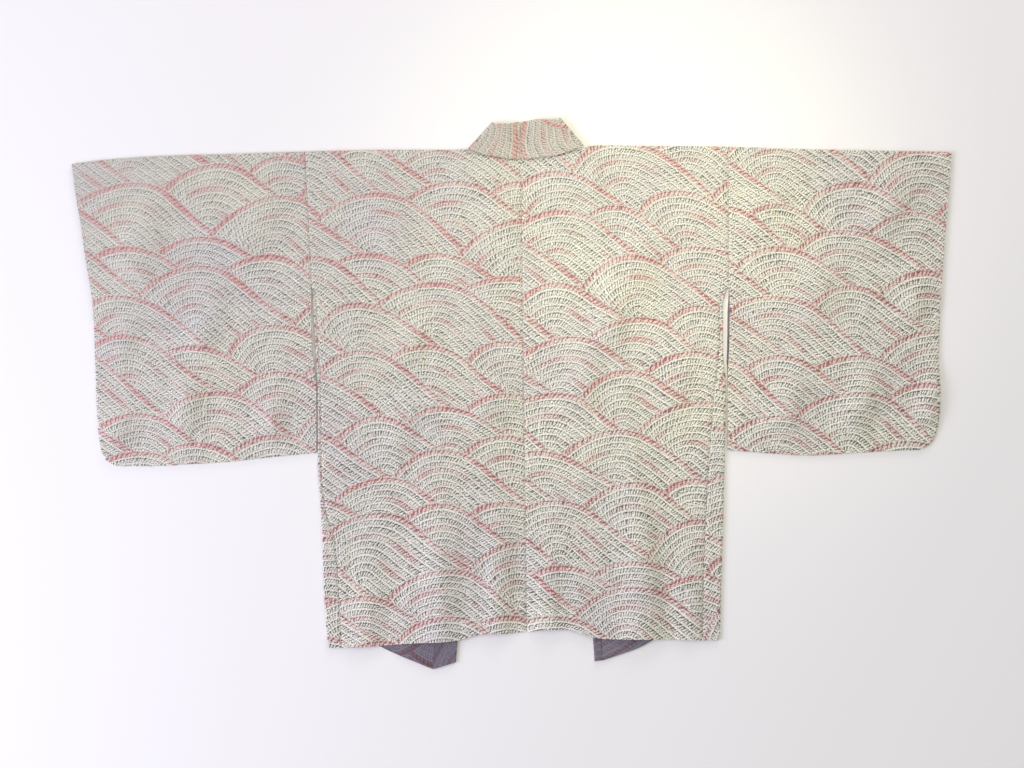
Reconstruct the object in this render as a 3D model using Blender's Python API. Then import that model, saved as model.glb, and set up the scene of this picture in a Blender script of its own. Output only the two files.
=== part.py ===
"""Haori jacket laid flat with its back up: every cut piece of cloth as its own closed wall.

Run with: blender --background --python part.py
Sizes are in millimetres, turned into metres where a mesh is made. X runs across the sleeves,
Y from the hem to the collar and Z up from the surface that the jacket lies on.
"""
import math

import bmesh
import bpy
import numpy as np

for old in list(bpy.data.objects):
    bpy.data.objects.remove(old, do_unlink=True)

# ---------------------------------------------------------------- cloth
MM = 0.001
WALL = 2.0                        # thickness of the puckered cloth
FOLD_GAP = 0.6                    # air inside a fold
LAYER = WALL + FOLD_GAP           # rise from one layer to the next
TURN = LAYER / 2                  # middle radius of a fold
ROLL = TURN + WALL / 2            # how far a fold stands out past its layers
SEAM = 0.3                        # gap between two pieces at a seam
FOLD_STEPS = 4
MITRE_STEPS = 6

UP = np.array((0, 0, 1.0))
NORTH = np.array((0, 1.0, 0))     # towards the collar

SHARP = math.radians(40)          # edges bent more than this are shaded sharp
SILK_ROUGHNESS = 0.62
CLOTH_IVORY = (0.78, 0.74, 0.66, 1.0)
CLOTH_ROSE = (0.70, 0.50, 0.47, 1.0)

# ---------------------------------------------------------------- the outline, as laid
# Height of the shoulder fold and of the sleeves' tops: across, up
TOP = ((-659, 344), (-610, 350), (-520, 356), (-415, 359), (-325, 362), (-191, 365), (-67, 365.5),
       (110, 370), (133, 372), (253, 371), (325, 370), (418, 367), (508, 365), (659, 362))
# The back's hem: across, up
BACK_HEM = ((-276, -382), (-215, -379), (-143, -374), (-83, -370), (-47, -361), (1, -359), (25, -357.5),
            (50, -353.5), (80, -353.5), (103, -359), (121, -365), (148, -368), (215, -368), (313, -371))

ARMHOLE_FOOT = 158.0              # where a sleeve stops being sewn to the body
ARMHOLE_STEP = 4.0                # from there down to the top of the gusset
CUFF_DROP = 230.0                 # open part of a sleeve's outer edge, from its top
NECK_CENTRE = (14.2, 354.7)       # centre-back seam at the neck
HEM_CENTRE = (23.2, -358.0)       # centre-back seam at the hem
COLLAR_DIP_UP = 407.5             # top fold of the band at its centre seam, lower than beside it
COLLAR_DIP_REACH = 0.5            # share of the way to the shoulder in which it climbs back
MITRE_LEVEL = 1.5                 # the mitre turns between the first and the second layer up
COLLAR_LAP = 3.0                  # how far the turned-down collar covers the neck seam
MITRE_CLEAR = 3.0                 # the collar's first width that stays free of the shoulder fold
UNDER_SHORT = 4.0                 # how far the collar's hidden leg ends above the front's hem
LIFT_MARGIN = 6.0                 # the front stays up this far past the collar's hidden leg
LIFT_RUN = 20.0                   # and comes down to the floor in this length
COLLAR_MARGIN = 4.0               # the back stays up this far past the collar's inner fold

HALVES = {
    "left": {
        "outward": -1,
        "armhole": ((158, -299.4), (365, -309.6)),                      # up, across
        "body_side": ((-382, -275.2), (-346, -278.2), (-298, -281.2), (-250, -282.7), (-202, -284.2),
                      (-154, -287.2), (-115, -290.2), (-70, -290.5), (5, -291), (65, -294), (110, -296.2),
                      (158, -298.5)),
        "front_hem": ((-276, -366), (-227, -370), (-203, -377), (-179, -388), (-155, -398), (-118, -413)),
        "gusset": ((-382, 21, 65), (-316, 22, 60), (-256, 21, 55), (-218, 17, 52), (-160, 5.5, 47),
                   (60, 4.8, 30), (154, 4.8, 10)),                      # up, on the back, whole width
        "collar_seam": ((-66.7, 365.3), (-117.7, -413.2)),              # at the shoulder, at the hem
        "collar_fold": ((-29.2, 407.3), (-83.2, -402.7)),
        "collar_under": 40.0,                                           # past the seam, at the hem
        "sleeve_outer": ((-109, -616), (-70, -617.2), (-25, -621.7), (65, -624.7), (133, -627.7),
                         (200, -638.2), (245, -644.2), (290, -651.7), (344, -659.2)),
        "sleeve_hem": ((-616, -109), (-535, -109), (-482, -106), (-430, -103), (-400, -100), (-355, -95),
                       (-325, -92), (-290, -89)),
        "sleeve_free": ((-92, -292.5), (5, -292.5), (32, -294.7), (65, -298.5), (110, -300), (158, -300.5)),
        "front_peek": ((-92, 0), (158, 0)),                             # of the sleeve's front layer
    },
    "right": {
        "outward": 1,
        "armhole": ((158, 325.5), (370, 325.0)),
        "body_side": ((-371, 312.7), (-298, 314.2), (-250, 315.7), (-202, 317.2), (-130, 318.7), (-70, 320.2),
                      (20, 321), (43, 318.7), (65, 317.2), (133, 317.2), (158, 323.2)),
        "front_hem": ((136, -400), (181, -385), (199, -377), (215, -368), (253, -360), (313, -358)),
        "gusset": ((-371, 27, 65), (-256, 27, 57), (-151, 25, 50), (-71, 22, 42), (2, 16.5, 35),
                   (80, 5, 28), (154, 4.8, 10)),
        "collar_seam": ((110.2, 369.7), (135.7, -399.7)),
        "collar_fold": ((72.7, 414.0), (124.5, -401.2)),
        "collar_under": 84.0,
        "sleeve_outer": ((-85, 635), (-70, 635.2), (-47, 638.2), (20, 639.7), (88, 641.2), (155, 644.2),
                         (200, 647.2), (245, 650.2), (290, 654.7), (362, 659.2)),
        "sleeve_hem": ((325, -85), (365, -88), (403, -91), (448, -93), (488, -91), (538, -88), (605, -85),
                       (635, -85)),
        "sleeve_free": ((-92, 324), (5, 323.5), (20, 324), (43, 324.7), (65, 326.2), (133, 327), (158, 326.2)),
        "front_peek": ((-92, 0), (22, 0), (60, 3), (120, 3), (158, 0)),
    },
}
SLEEVE_CORNER = 30.0              # radius of a sleeve's rounded lower corner

# Broad soft folds of the top layer: foot across, foot up, head across, head up, half width, height
SOFT_FOLDS = (
    (-88, -470, -92, 10, 44, 6.5),
    (18, -440, 12, -20, 30, 4.0),
    (118, -470, 150, 40, 46, 6.0),
    (-196, -470, -176, 60, 42, 4.0),
    (226, -470, 204, 0, 44, 4.5),
    (-190, 300, -70, 60, 50, 3.0),
    (228, 300, 96, 40, 52, 3.5),
    (-400, -78, -352, 215, 48, 5.0),
    (-530, -82, -500, 190, 46, 4.5),
    (-575, 20, -545, 300, 34, 3.0),
    (440, -70, 416, 225, 48, 5.0),
    (560, -62, 520, 120, 42, 4.5),
    (598, 60, 575, 310, 34, 3.0),
)
FOLD_RISE = 0.18                  # part of a fold's length in which it rises from its foot
FOLD_FADE = 0.55                  # and in which it fades towards its head

# ---------------------------------------------------------------- how finely each piece is cut up
ROWS_ABOVE_ARMHOLE = 6
ROWS_BELOW_ARMHOLE = 17
ZONE_COLUMNS = (5, 1, 2, 1, 3)    # side to lift, lift, to the collar seam, over the collar, to the centre
FRONT_ZONES = 3
SLEEVE_COLUMNS = 10
SLEEVE_ROWS = 13
CORNER_STEPS = 2
NECK_STATIONS = 4
COLLAR_STATIONS = 24
LEG_STEPS = 2
PLACE_ROUNDS = 3                  # rounds in which a point's across and up settle together


# ---------------------------------------------------------------- measures
def follow(table, at, column=1):
    """Value of a table's column at a place in its first one, as a smooth curve that never swings
    past the rows."""
    keys = np.array([row[0] for row in table], float)
    values = np.array([row[column] for row in table], float)
    steep = np.diff(values) / np.diff(keys)
    product = steep[:-1] * steep[1:]
    total = np.where(product > 0, steep[:-1] + steep[1:], 1)
    slopes = np.concatenate((steep[:1], np.where(product > 0, 2 * product / total, 0), steep[-1:]))
    at = np.clip(at, keys[0], keys[-1])
    low = np.clip(np.searchsorted(keys, at) - 1, 0, len(keys) - 2)
    step = keys[low + 1] - keys[low]
    t = (at - keys[low]) / step
    lean = (1 - t) * (slopes[low] - steep[low]) - t * (slopes[low + 1] - steep[low])
    return values[low] + (values[low + 1] - values[low]) * t + t * (1 - t) * step * lean


def ease(value):
    """Smooth step from 0 to 1."""
    value = np.clip(value, 0, 1)
    return value * value * (3 - 2 * value)


def level(number):
    """Height of the middle of a layer, counted up from the floor."""
    return WALL / 2 + number * LAYER


def on_line(ends, up):
    """Across at a height on the straight line between two points."""
    (top_x, top_y), (foot_x, foot_y) = ends
    return top_x + (foot_x - top_x) * (top_y - up) / (top_y - foot_y)


def centre_line(up):
    return on_line((NECK_CENTRE, HEM_CENTRE), up)


def soft_rise(x, y):
    """How far the broad folds lift the top layer."""
    rise = np.zeros_like(x + y, dtype=float)
    for foot_x, foot_y, head_x, head_y, half_width, height in SOFT_FOLDS:
        run = np.array((head_x - foot_x, head_y - foot_y), float)
        length = np.hypot(*run)
        run /= length
        along = ((x - foot_x) * run[0] + (y - foot_y) * run[1]) / length
        off = np.abs((x - foot_x) * run[1] - (y - foot_y) * run[0]) / half_width
        shape = ease(along / FOLD_RISE) * ease((1 - along) / FOLD_FADE)
        rise = rise + height * shape * (0.5 + 0.5 * np.cos(np.pi * np.clip(off, 0, 1)))
    return rise


def under_width(half, up):
    """How far the collar's hidden leg reaches past its seam, under the front."""
    top, foot = half["collar_seam"]
    return half["collar_under"] * np.clip((top[1] - up) / (top[1] - foot[1]), 0, 1)


def lift_lines(half, up):
    """Across of where the front leaves the floor and of where it is fully up, at a height."""
    full = on_line(half["collar_seam"], up) + half["outward"] * (under_width(half, up) + LIFT_MARGIN)
    return full + half["outward"] * LIFT_RUN, full


def front_level(half, x, y):
    """Layer of the front: 0 on the floor, 1 over the collar's hidden leg."""
    start, full = lift_lines(half, y)
    return ease((start - x) / (start - full))


def back_level(half, x, y):
    """Layer of the back: one above the front, sinking to the floor between the two collars."""
    edge = on_line(half["collar_fold"], y) - half["outward"] * COLLAR_MARGIN
    return 1 + front_level(half, x, y) - 2 * ease((edge - x) / (edge - centre_line(y)))


def neck_edge(half, x):
    """Height of the back's neck edge, a shallow curve between the shoulder and the centre."""
    shoulder_x, shoulder_y = half["collar_seam"][0]
    part = np.clip((x - shoulder_x) / (NECK_CENTRE[0] - shoulder_x), 0, 1)
    return shoulder_y + (NECK_CENTRE[1] - shoulder_y) * np.sin(part * math.pi / 2)


# ---------------------------------------------------------------- walls of cloth
class Cloth:
    """Middle surface of one piece: named points with the way that its right side faces."""

    def __init__(self):
        self.points = {}
        self.faces = []

    def put(self, key, point, facing):
        self.points[key] = (np.array(point, float), np.array(facing, float))
        return key

    def weave(self, rows):
        """Two triangles between each four neighbouring points, with the right side out."""
        for upper, lower in zip(rows, rows[1:]):
            for a, b, c, d in zip(upper, upper[1:], lower[1:], lower):
                for corners in ((a, b, c), (a, c, d)):
                    self.faces.append(self.turned(corners))

    def turned(self, corners):
        """The same triangle, wound so that it faces as its points do."""
        spots = [self.points[key][0] for key in corners]
        normal = np.cross(spots[1] - spots[0], spots[2] - spots[0])
        facing = sum(self.points[key][1] for key in corners)
        return corners if normal @ facing > 0 else corners[::-1]

    def wall(self, name, colour):
        """Closed solid: the right side, the wrong side and a rim along every open edge."""
        mesh = bmesh.new()
        right = {}
        wrong = {}
        for key, (point, facing) in self.points.items():
            right[key] = mesh.verts.new((point + facing * WALL / 2) * MM)
            wrong[key] = mesh.verts.new((point - facing * WALL / 2) * MM)
        sides = set()
        for a, b, c in self.faces:
            mesh.faces.new((right[a], right[b], right[c]))
            mesh.faces.new((wrong[c], wrong[b], wrong[a]))
            sides.update(((a, b), (b, c), (c, a)))
        for a, b in sorted(sides, key=str):
            if (b, a) not in sides:
                mesh.faces.new((right[b], right[a], wrong[a], wrong[b]))
        data = bpy.data.meshes.new(name)
        mesh.to_mesh(data)
        mesh.free()
        data.shade_smooth()
        data.set_sharp_from_angle(angle=SHARP)
        data.materials.append(material(name, colour))
        piece = bpy.data.objects.new(name, data)
        bpy.context.scene.collection.objects.link(piece)
        return piece


def material(name, colour):
    """Matt puckered silk."""
    made = bpy.data.materials.new(name)
    made.use_nodes = True
    shader = made.node_tree.nodes["Principled BSDF"]
    shader.inputs["Base Color"].default_value = colour
    shader.inputs["Roughness"].default_value = SILK_ROUGHNESS
    shader.inputs["Metallic"].default_value = 0.0
    return made


def bend(cloth, tag, upper, lower, outward):
    """Keys of a half-round fold from a point of one layer to the point under it."""
    top = cloth.points[upper][0]
    foot = cloth.points[lower][0]
    middle = (top + foot) / 2
    half_way = (top - foot) / 2
    keys = [upper]
    for step in range(1, FOLD_STEPS):
        angle = math.pi * step / FOLD_STEPS
        facing = UP * math.cos(angle) + outward * math.sin(angle)
        point = middle + half_way * math.cos(angle) + outward * half_way[2] * math.sin(angle)
        keys.append(cloth.put((tag, upper, step), point, facing))
    return keys + [lower]


# ---------------------------------------------------------------- body: back and front in one length
def body_edge(half, up, front):
    """Across of the panel's side edge: the armhole seam, then the gusset's seam."""
    inward = -half["outward"]
    if up > ARMHOLE_FOOT - ARMHOLE_STEP / 2:
        return float(follow(half["armhole"], up)) + inward * SEAM / 2
    on_back = follow(half["gusset"], up)
    whole = follow(half["gusset"], up, 2)
    width = whole - on_back if front else on_back
    return float(follow(half["body_side"], up) + inward * (width + SEAM))


def row_heights(half, front):
    """Heights of a panel's rows at its side edge, with a short one at the foot of the armhole."""
    hem_table = half["front_hem"] if front else BACK_HEM
    top = follow(TOP, body_edge(half, ARMHOLE_FOOT, front)) - ROLL
    hem = follow(hem_table, body_edge(half, -math.inf, front))
    above = np.linspace(top, ARMHOLE_FOOT, ROWS_ABOVE_ARMHOLE + 1)
    below = np.linspace(ARMHOLE_FOOT - ARMHOLE_STEP, hem, ROWS_BELOW_ARMHOLE + 1)
    return [float(height) for height in (*above, *below)]


def column_places(half, up, front):
    """Across of every column line at a height, from the side to the centre back."""
    start, full = lift_lines(half, up)
    edge = on_line(half["collar_fold"], up) - half["outward"] * COLLAR_MARGIN
    lines = [body_edge(half, up, front), start, full, on_line(half["collar_seam"], up), edge,
             centre_line(up) + half["outward"] * SEAM / 2]
    places = [lines[0]]
    for here, there, count in zip(lines, lines[1:], ZONE_COLUMNS):
        places += [here + (there - here) * step / count for step in range(1, count + 1)]
    return places


def body(side):
    half = HALVES[side]
    cloth = Cloth()
    front_columns = sum(ZONE_COLUMNS[:FRONT_ZONES]) + 1
    layers = {}
    for layer in ("back", "front"):
        front = layer == "front"
        hem_table = half["front_hem"] if front else BACK_HEM
        heights = row_heights(half, front)
        rows = []
        for j, height in enumerate(heights):
            drop = (heights[0] - height) / (heights[0] - heights[-1])
            row = []
            for i in range(front_columns if front else sum(ZONE_COLUMNS) + 1):
                x, y = column_places(half, height, front)[i], height
                for _ in range(PLACE_ROUNDS if i else 0):
                    upper = neck_edge(half, x) if i >= front_columns else follow(TOP, x) - ROLL
                    y = float(upper + (follow(hem_table, x) - upper) * drop)
                    x = column_places(half, y, front)[i]
                if front:
                    z = level(front_level(half, x, y))
                else:
                    z = level(back_level(half, x, y)) + soft_rise(x, y)
                row.append(cloth.put((layer, i, j), (x, y, z), -UP if front else UP))
            rows.append(row)
        cloth.weave(rows)
        layers[layer] = rows
    folds = [bend(cloth, "shoulder", upper, lower, NORTH)
             for upper, lower in zip(layers["back"][0][:front_columns], layers["front"][0])]
    cloth.weave(folds)
    return cloth.wall(f"body_{side}", CLOTH_IVORY)


# ---------------------------------------------------------------- sleeve: one length, folded at the top
def rounded(from_outer, from_hem, radius):
    """Distances from the two edges after the square corner is drawn in to a round one, and the
    way out of the corner as shares of the two."""
    reach = np.array((radius - from_outer, radius - from_hem)) / radius
    if min(reach) <= 0:
        return from_outer, from_hem, (1.0, 0.0) if reach[0] > reach[1] else (0.0, 1.0)
    drawn = reach * max(reach) / np.hypot(*reach)
    return radius * (1 - drawn[0]), radius * (1 - drawn[1]), tuple(reach / np.hypot(*reach))


def shares_with_corner(count, corner):
    """Even steps from 0 up to a corner, then the shorter steps that cut up the corner, ending at 1."""
    even = [(1 - corner) * step / count for step in range(count)]
    return even + [1 - corner * (CORNER_STEPS - step) / CORNER_STEPS for step in range(CORNER_STEPS + 1)]


def sleeve(side):
    half = HALVES[side]
    outward = half["outward"]
    cloth = Cloth()
    outer_table = half["sleeve_outer"]
    radius = SLEEVE_CORNER - ROLL
    top_outer = float(follow(TOP, outward * math.inf))
    cuff_foot = top_outer - CUFF_DROP
    hem_outer = float(follow(half["sleeve_hem"], outward * math.inf))

    width = abs(float(follow(outer_table, -math.inf) - follow(half["sleeve_free"], -math.inf)))
    depth = top_outer - hem_outer
    across = shares_with_corner(SLEEVE_COLUMNS, radius / width)
    down = shares_with_corner(SLEEVE_ROWS, radius / depth)

    def spot(share, drop, front):
        """Point of a layer, and the way out of the sleeve there."""
        y = top_outer - depth * drop
        shut = y < cuff_foot
        for _ in range(PLACE_ROUNDS):
            if y >= ARMHOLE_FOOT:
                inner = follow(half["armhole"], y) + outward * SEAM / 2
            else:
                peek = follow(half["front_peek"], y) * front
                inner = follow(half["sleeve_free"], y) - outward * peek
            outer = follow(outer_table, y) - outward * ROLL * shut
            x = inner + (outer - inner) * share
            upper = follow(TOP, x) - ROLL
            lower = follow(half["sleeve_hem"], x) + ROLL
            y = upper + (lower - upper) * drop
        from_outer, from_hem, way = rounded(abs(outer - x), y - lower, radius)
        point = (float(outer - outward * from_outer), float(lower + from_hem))
        return point, np.array((outward * way[0], -way[1], 0.0))

    layers = {}
    ways = {}
    for layer in ("back", "front"):
        front = layer == "front"
        rows = []
        for j, drop in enumerate(down):
            row = []
            for i, share in enumerate(across):
                (x, y), ways[i, j] = spot(share, drop, front)
                z = level(0) if front else level(1) + float(soft_rise(x, y))
                row.append(cloth.put((layer, i, j), (x, y, z), -UP if front else UP))
            rows.append(row)
        cloth.weave(rows)
        layers[layer] = rows
    last_row = len(down) - 1
    last_column = len(across) - 1
    cloth.weave([bend(cloth, "top", ("back", i, 0), ("front", i, 0), NORTH) for i in range(last_column + 1)])
    closed = [(i, last_row) for i in range(last_column + 1)]
    closed += [(last_column, j) for j in range(last_row - 1, 0, -1)
               if top_outer - depth * down[j] < cuff_foot]
    cloth.weave([bend(cloth, "hem", ("back", i, j), ("front", i, j), ways[i, j]) for i, j in closed])
    return cloth.wall(f"sleeve_{side}", CLOTH_IVORY)


# ---------------------------------------------------------------- collar: a band turned outwards
def collar_stations(half):
    """Cross-sections of the band from the centre back, over the shoulder and down the front: seam
    point, way across, width to the fold, way up through the layers, start of the leg at the seam
    and free edge of the other leg."""
    shoulder_seam, hem_seam = (np.array(point) for point in half["collar_seam"])
    shoulder_fold, hem_fold = (np.array(point) for point in half["collar_fold"])
    along = (shoulder_fold - shoulder_seam) / np.linalg.norm(shoulder_fold - shoulder_seam)
    out = np.array((along[1], -along[0])) * half["outward"]
    stack = MITRE_LEVEL * LAYER + WALL / 2
    mitre_seam = shoulder_seam - out * stack
    mitre_fold = shoulder_fold - out * stack
    stations = []

    def add(seam, fold, height, up, first, free_edge=None):
        width = np.linalg.norm(fold - seam)
        across = (fold - seam) / width
        if free_edge is None:
            free_edge = seam + across * first
        stations.append((np.array((*seam, height)), np.array((*across, 0.0)), width - ROLL,
                         np.array(up, float), first, np.array((*free_edge, height))))

    middle = level(MITRE_LEVEL)
    neck_columns = column_places(half, NECK_CENTRE[1], False)[-NECK_STATIONS:]
    for seam_x in reversed(neck_columns):
        part = (neck_columns[-1] - seam_x) / (neck_columns[-1] - mitre_seam[0])
        fold_x = neck_columns[-1] + (mitre_fold[0] - neck_columns[-1]) * part
        climb = ease(part / COLLAR_DIP_REACH)
        fold_y = COLLAR_DIP_UP + (mitre_fold[1] - COLLAR_DIP_UP) * climb
        seam = np.array((seam_x, float(neck_edge(half, seam_x))))
        fold = np.array((fold_x, fold_y))
        lap = seam - (fold - seam) / np.linalg.norm(fold - seam) * COLLAR_LAP
        add(seam, fold, level(back_level(half, *seam)) - TURN, UP, SEAM, lap)
    for step in range(MITRE_STEPS + 1):
        angle = math.pi * step / MITRE_STEPS
        up = UP * math.cos(angle) + np.array((*out, 0.0)) * math.sin(angle)
        add(mitre_seam, mitre_fold, middle, up, MITRE_CLEAR)
    for step in range(1, COLLAR_STATIONS + 1):
        part = step / COLLAR_STATIONS
        seam = mitre_seam + (hem_seam - mitre_seam) * part
        fold = mitre_fold + (hem_fold - mitre_fold) * part
        free_x = seam[0] + half["outward"] * half["collar_under"] * part
        free_hem = follow(half["front_hem"], free_x) + UNDER_SHORT
        free_edge = np.array((free_x, mitre_seam[1] + (free_hem - mitre_seam[1]) * part))
        add(seam, fold, middle, -UP, SEAM, free_edge)
    return stations


def collar(side):
    half = HALVES[side]
    cloth = Cloth()
    rows = []
    for number, (seam, across, width, up, first, free_edge) in enumerate(collar_stations(half)):
        spots = []
        for step in range(LEG_STEPS):
            reach = first + (width - first) * step / LEG_STEPS
            spots.append((seam + across * reach + up * TURN, -up))
        for step in range(FOLD_STEPS + 1):
            angle = math.pi * step / FOLD_STEPS
            facing = across * math.sin(angle) - up * math.cos(angle)
            spots.append((seam + across * width + up * LAYER + facing * TURN, facing))
        turned = seam + across * width
        for step in range(1, LEG_STEPS + 1):
            spots.append((turned + (free_edge - turned) * step / LEG_STEPS + up * (TURN + LAYER), up))
        rows.append([cloth.put((number, place), *spot) for place, spot in enumerate(spots)])
    cloth.weave(rows)
    return cloth.wall(f"collar_{side}", CLOTH_ROSE)


# ---------------------------------------------------------------- gusset: a wedge folded round the side
def gusset(side):
    half = HALVES[side]
    outward = half["outward"]
    cloth = Cloth()
    rows = []
    for j in range(ROWS_BELOW_ARMHOLE + 1):
        row = []
        keys = {}
        for layer in ("back", "front"):
            front = layer == "front"
            y = row_heights(half, front)[ROWS_ABOVE_ARMHOLE + 1 + j]
            on_back = float(follow(half["gusset"], y))
            whole = float(follow(half["gusset"], y, 2))
            width = (whole - on_back if front else on_back) - ROLL
            side_x = float(follow(half["body_side"], y)) - outward * ROLL
            keys[layer] = []
            for step in range(LEG_STEPS + 1):
                x = side_x - outward * width * step / LEG_STEPS
                z = level(0) if front else level(1)
                keys[layer].append(cloth.put((layer, step, j), (x, y, z), -UP if front else UP))
        row += keys["back"][::-1][:-1]
        row += bend(cloth, "side", keys["back"][0], keys["front"][0], np.array((outward, 0.0, 0.0)))
        row += keys["front"][1:]
        rows.append(row)
    cloth.weave(rows)
    return cloth.wall(f"gusset_{side}", CLOTH_IVORY)


for name in HALVES:
    body(name)
    sleeve(name)
    collar(name)
    gusset(name)
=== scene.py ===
# %% [markdown]
# # A haori laid out flat
#
# A haori is the short jacket that is worn over a kimono. This one lies with its back up and its
# sleeves spread, so eight pieces of silk show or half show: a left and a right body length, each
# folded over the shoulder into its front, two sleeves, the two halves of the collar band, and a
# wedge under each armhole. The cloth is a vintage silk that was gathered into thousands of tiny
# puckers, in rows that draw the old pattern of ocean waves, ivory with dusty rose crests.
#
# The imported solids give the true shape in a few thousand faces. This file builds each of them again
# as a thin shell on the same form, fine enough for rows, seams and creases, and then dyes it.

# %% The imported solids
import math

import bmesh
import bpy
import numpy as np
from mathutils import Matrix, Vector


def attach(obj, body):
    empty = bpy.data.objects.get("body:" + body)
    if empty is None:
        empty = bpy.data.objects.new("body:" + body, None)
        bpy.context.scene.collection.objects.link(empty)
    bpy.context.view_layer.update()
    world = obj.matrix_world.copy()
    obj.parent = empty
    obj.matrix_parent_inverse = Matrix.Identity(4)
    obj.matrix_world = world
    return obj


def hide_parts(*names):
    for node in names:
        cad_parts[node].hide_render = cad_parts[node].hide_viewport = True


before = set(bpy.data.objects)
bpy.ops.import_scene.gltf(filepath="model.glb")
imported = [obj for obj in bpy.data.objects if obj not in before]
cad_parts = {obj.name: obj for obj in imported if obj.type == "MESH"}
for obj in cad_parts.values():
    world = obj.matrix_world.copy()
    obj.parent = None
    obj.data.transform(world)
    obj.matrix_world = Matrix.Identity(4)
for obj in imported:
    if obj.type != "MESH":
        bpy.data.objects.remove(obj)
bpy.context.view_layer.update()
print("pieces:", ", ".join(sorted(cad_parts)))

# %% [markdown]
# ## The outline as tables
#
# Soft edges are never quite straight, so each one is a short table of places, read as a smooth
# curve. The same tables made the solids, and their numbers are millimetres, because that is how a
# tailor thinks. X runs across the sleeves, Y from the hem to the collar and Z up from the floor.
# The cut is not mirrored: a jacket that somebody laid down by hand never is.

# %% Tables of the outline
MM = 0.001
WALL = 2.0                        # thickness of the solids' cloth
CLOTH = 1.2                       # thickness of the shells, under the solids' right side
AIR = 0.6                         # left between two layers
LAYER = WALL + AIR                # rise from one layer to the next
TURN = LAYER / 2                  # middle radius of a fold
ROLL = TURN + WALL / 2            # how far a fold stands out past its layers
SEAM = 0.3                        # gap between two pieces at a seam

# Height of the shoulder fold and of the sleeves' tops: across, up
TOP = ((-659, 344), (-610, 350), (-520, 356), (-415, 359), (-325, 362), (-191, 365), (-67, 365.5),
       (110, 370), (133, 372), (253, 371), (325, 370), (418, 367), (508, 365), (659, 362))
# The back's hem: across, up
BACK_HEM = ((-276, -382), (-215, -379), (-143, -374), (-83, -370), (-47, -361), (1, -359), (25, -357.5),
            (50, -353.5), (80, -353.5), (103, -359), (121, -365), (148, -368), (215, -368), (313, -371))
ARMHOLE_FOOT = 158.0              # where a sleeve stops being sewn to the body
ARMHOLE_STEP = 4.0                # from there down to the top of the gusset
CUFF_DROP = 230.0                 # open part of a sleeve's outer edge, from its top
CUFF_EASE = 8.0                   # length in which the open edge becomes the fold
SLEEVE_CORNER = 30.0              # radius of a sleeve's rounded lower corner
NECK_CENTRE = (14.2, 354.7)       # centre-back seam at the neck
HEM_CENTRE = (23.2, -358.0)       # centre-back seam at the hem
COLLAR_DIP_UP = 407.5             # top fold of the band at its centre seam, lower than beside it
COLLAR_DIP_REACH = 0.5            # share of the way to the shoulder in which it climbs back
COLLAR_LAP = 3.0                  # how far the turned-down collar covers the neck seam
MITRE_LEVEL = 1.5                 # the mitre turns between the first and the second layer up
MITRE_CLEAR = 3.0                 # the collar's first width that stays free of the shoulder fold
UNDER_SHORT = 4.0                 # how far the collar's hidden leg ends above the front's hem
LIFT_MARGIN = 6.0                 # the front stays up this far past the collar's hidden leg
LIFT_RUN = 20.0                   # and comes down to the floor in this length
COLLAR_MARGIN = 4.0               # the back stays up this far past the collar's inner fold

HALVES = {
    "left": {
        "outward": -1,
        "armhole": ((158, -299.4), (365, -309.6)),                      # up, across
        "body_side": ((-382, -275.2), (-346, -278.2), (-298, -281.2), (-250, -282.7), (-202, -284.2),
                      (-154, -287.2), (-115, -290.2), (-70, -290.5), (5, -291), (65, -294), (110, -296.2),
                      (158, -298.5)),
        "front_hem": ((-276, -366), (-227, -370), (-203, -377), (-179, -388), (-155, -398), (-118, -413)),
        "gusset": ((-382, 21, 65), (-316, 22, 60), (-256, 21, 55), (-218, 17, 52), (-160, 5.5, 47),
                   (60, 4.8, 30), (154, 4.8, 10)),                      # up, on the back, whole width
        "collar_seam": ((-66.7, 365.3), (-117.7, -413.2)),              # at the shoulder, at the hem
        "collar_fold": ((-29.2, 407.3), (-83.2, -402.7)),
        "collar_under": 40.0,                                           # past the seam, at the hem
        "sleeve_outer": ((-109, -616), (-70, -617.2), (-25, -621.7), (65, -624.7), (133, -627.7),
                         (200, -638.2), (245, -644.2), (290, -651.7), (344, -659.2)),
        "sleeve_hem": ((-616, -109), (-535, -109), (-482, -106), (-430, -103), (-400, -100), (-355, -95),
                       (-325, -92), (-290, -89)),
        "sleeve_free": ((-92, -292.5), (5, -292.5), (32, -294.7), (65, -298.5), (110, -300), (158, -300.5)),
        "front_peek": ((-92, 0), (158, 0)),                             # of the sleeve's front layer
    },
    "right": {
        "outward": 1,
        "armhole": ((158, 325.5), (370, 325.0)),
        "body_side": ((-371, 312.7), (-298, 314.2), (-250, 315.7), (-202, 317.2), (-130, 318.7), (-70, 320.2),
                      (20, 321), (43, 318.7), (65, 317.2), (133, 317.2), (158, 323.2)),
        "front_hem": ((136, -400), (181, -385), (199, -377), (215, -368), (253, -360), (313, -358)),
        "gusset": ((-371, 27, 65), (-256, 27, 57), (-151, 25, 50), (-71, 22, 42), (2, 16.5, 35),
                   (80, 5, 28), (154, 4.8, 10)),
        "collar_seam": ((110.2, 369.7), (135.7, -399.7)),
        "collar_fold": ((72.7, 414.0), (124.5, -401.2)),
        "collar_under": 84.0,
        "sleeve_outer": ((-85, 635), (-70, 635.2), (-47, 638.2), (20, 639.7), (88, 641.2), (155, 644.2),
                         (200, 647.2), (245, 650.2), (290, 654.7), (362, 659.2)),
        "sleeve_hem": ((325, -85), (365, -88), (403, -91), (448, -93), (488, -91), (538, -88), (605, -85),
                       (635, -85)),
        "sleeve_free": ((-92, 324), (5, 323.5), (20, 324), (43, 324.7), (65, 326.2), (133, 327),
                        (158, 326.2)),
        "front_peek": ((-92, 0), (22, 0), (60, 3), (120, 3), (158, 0)),
    },
}
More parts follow.
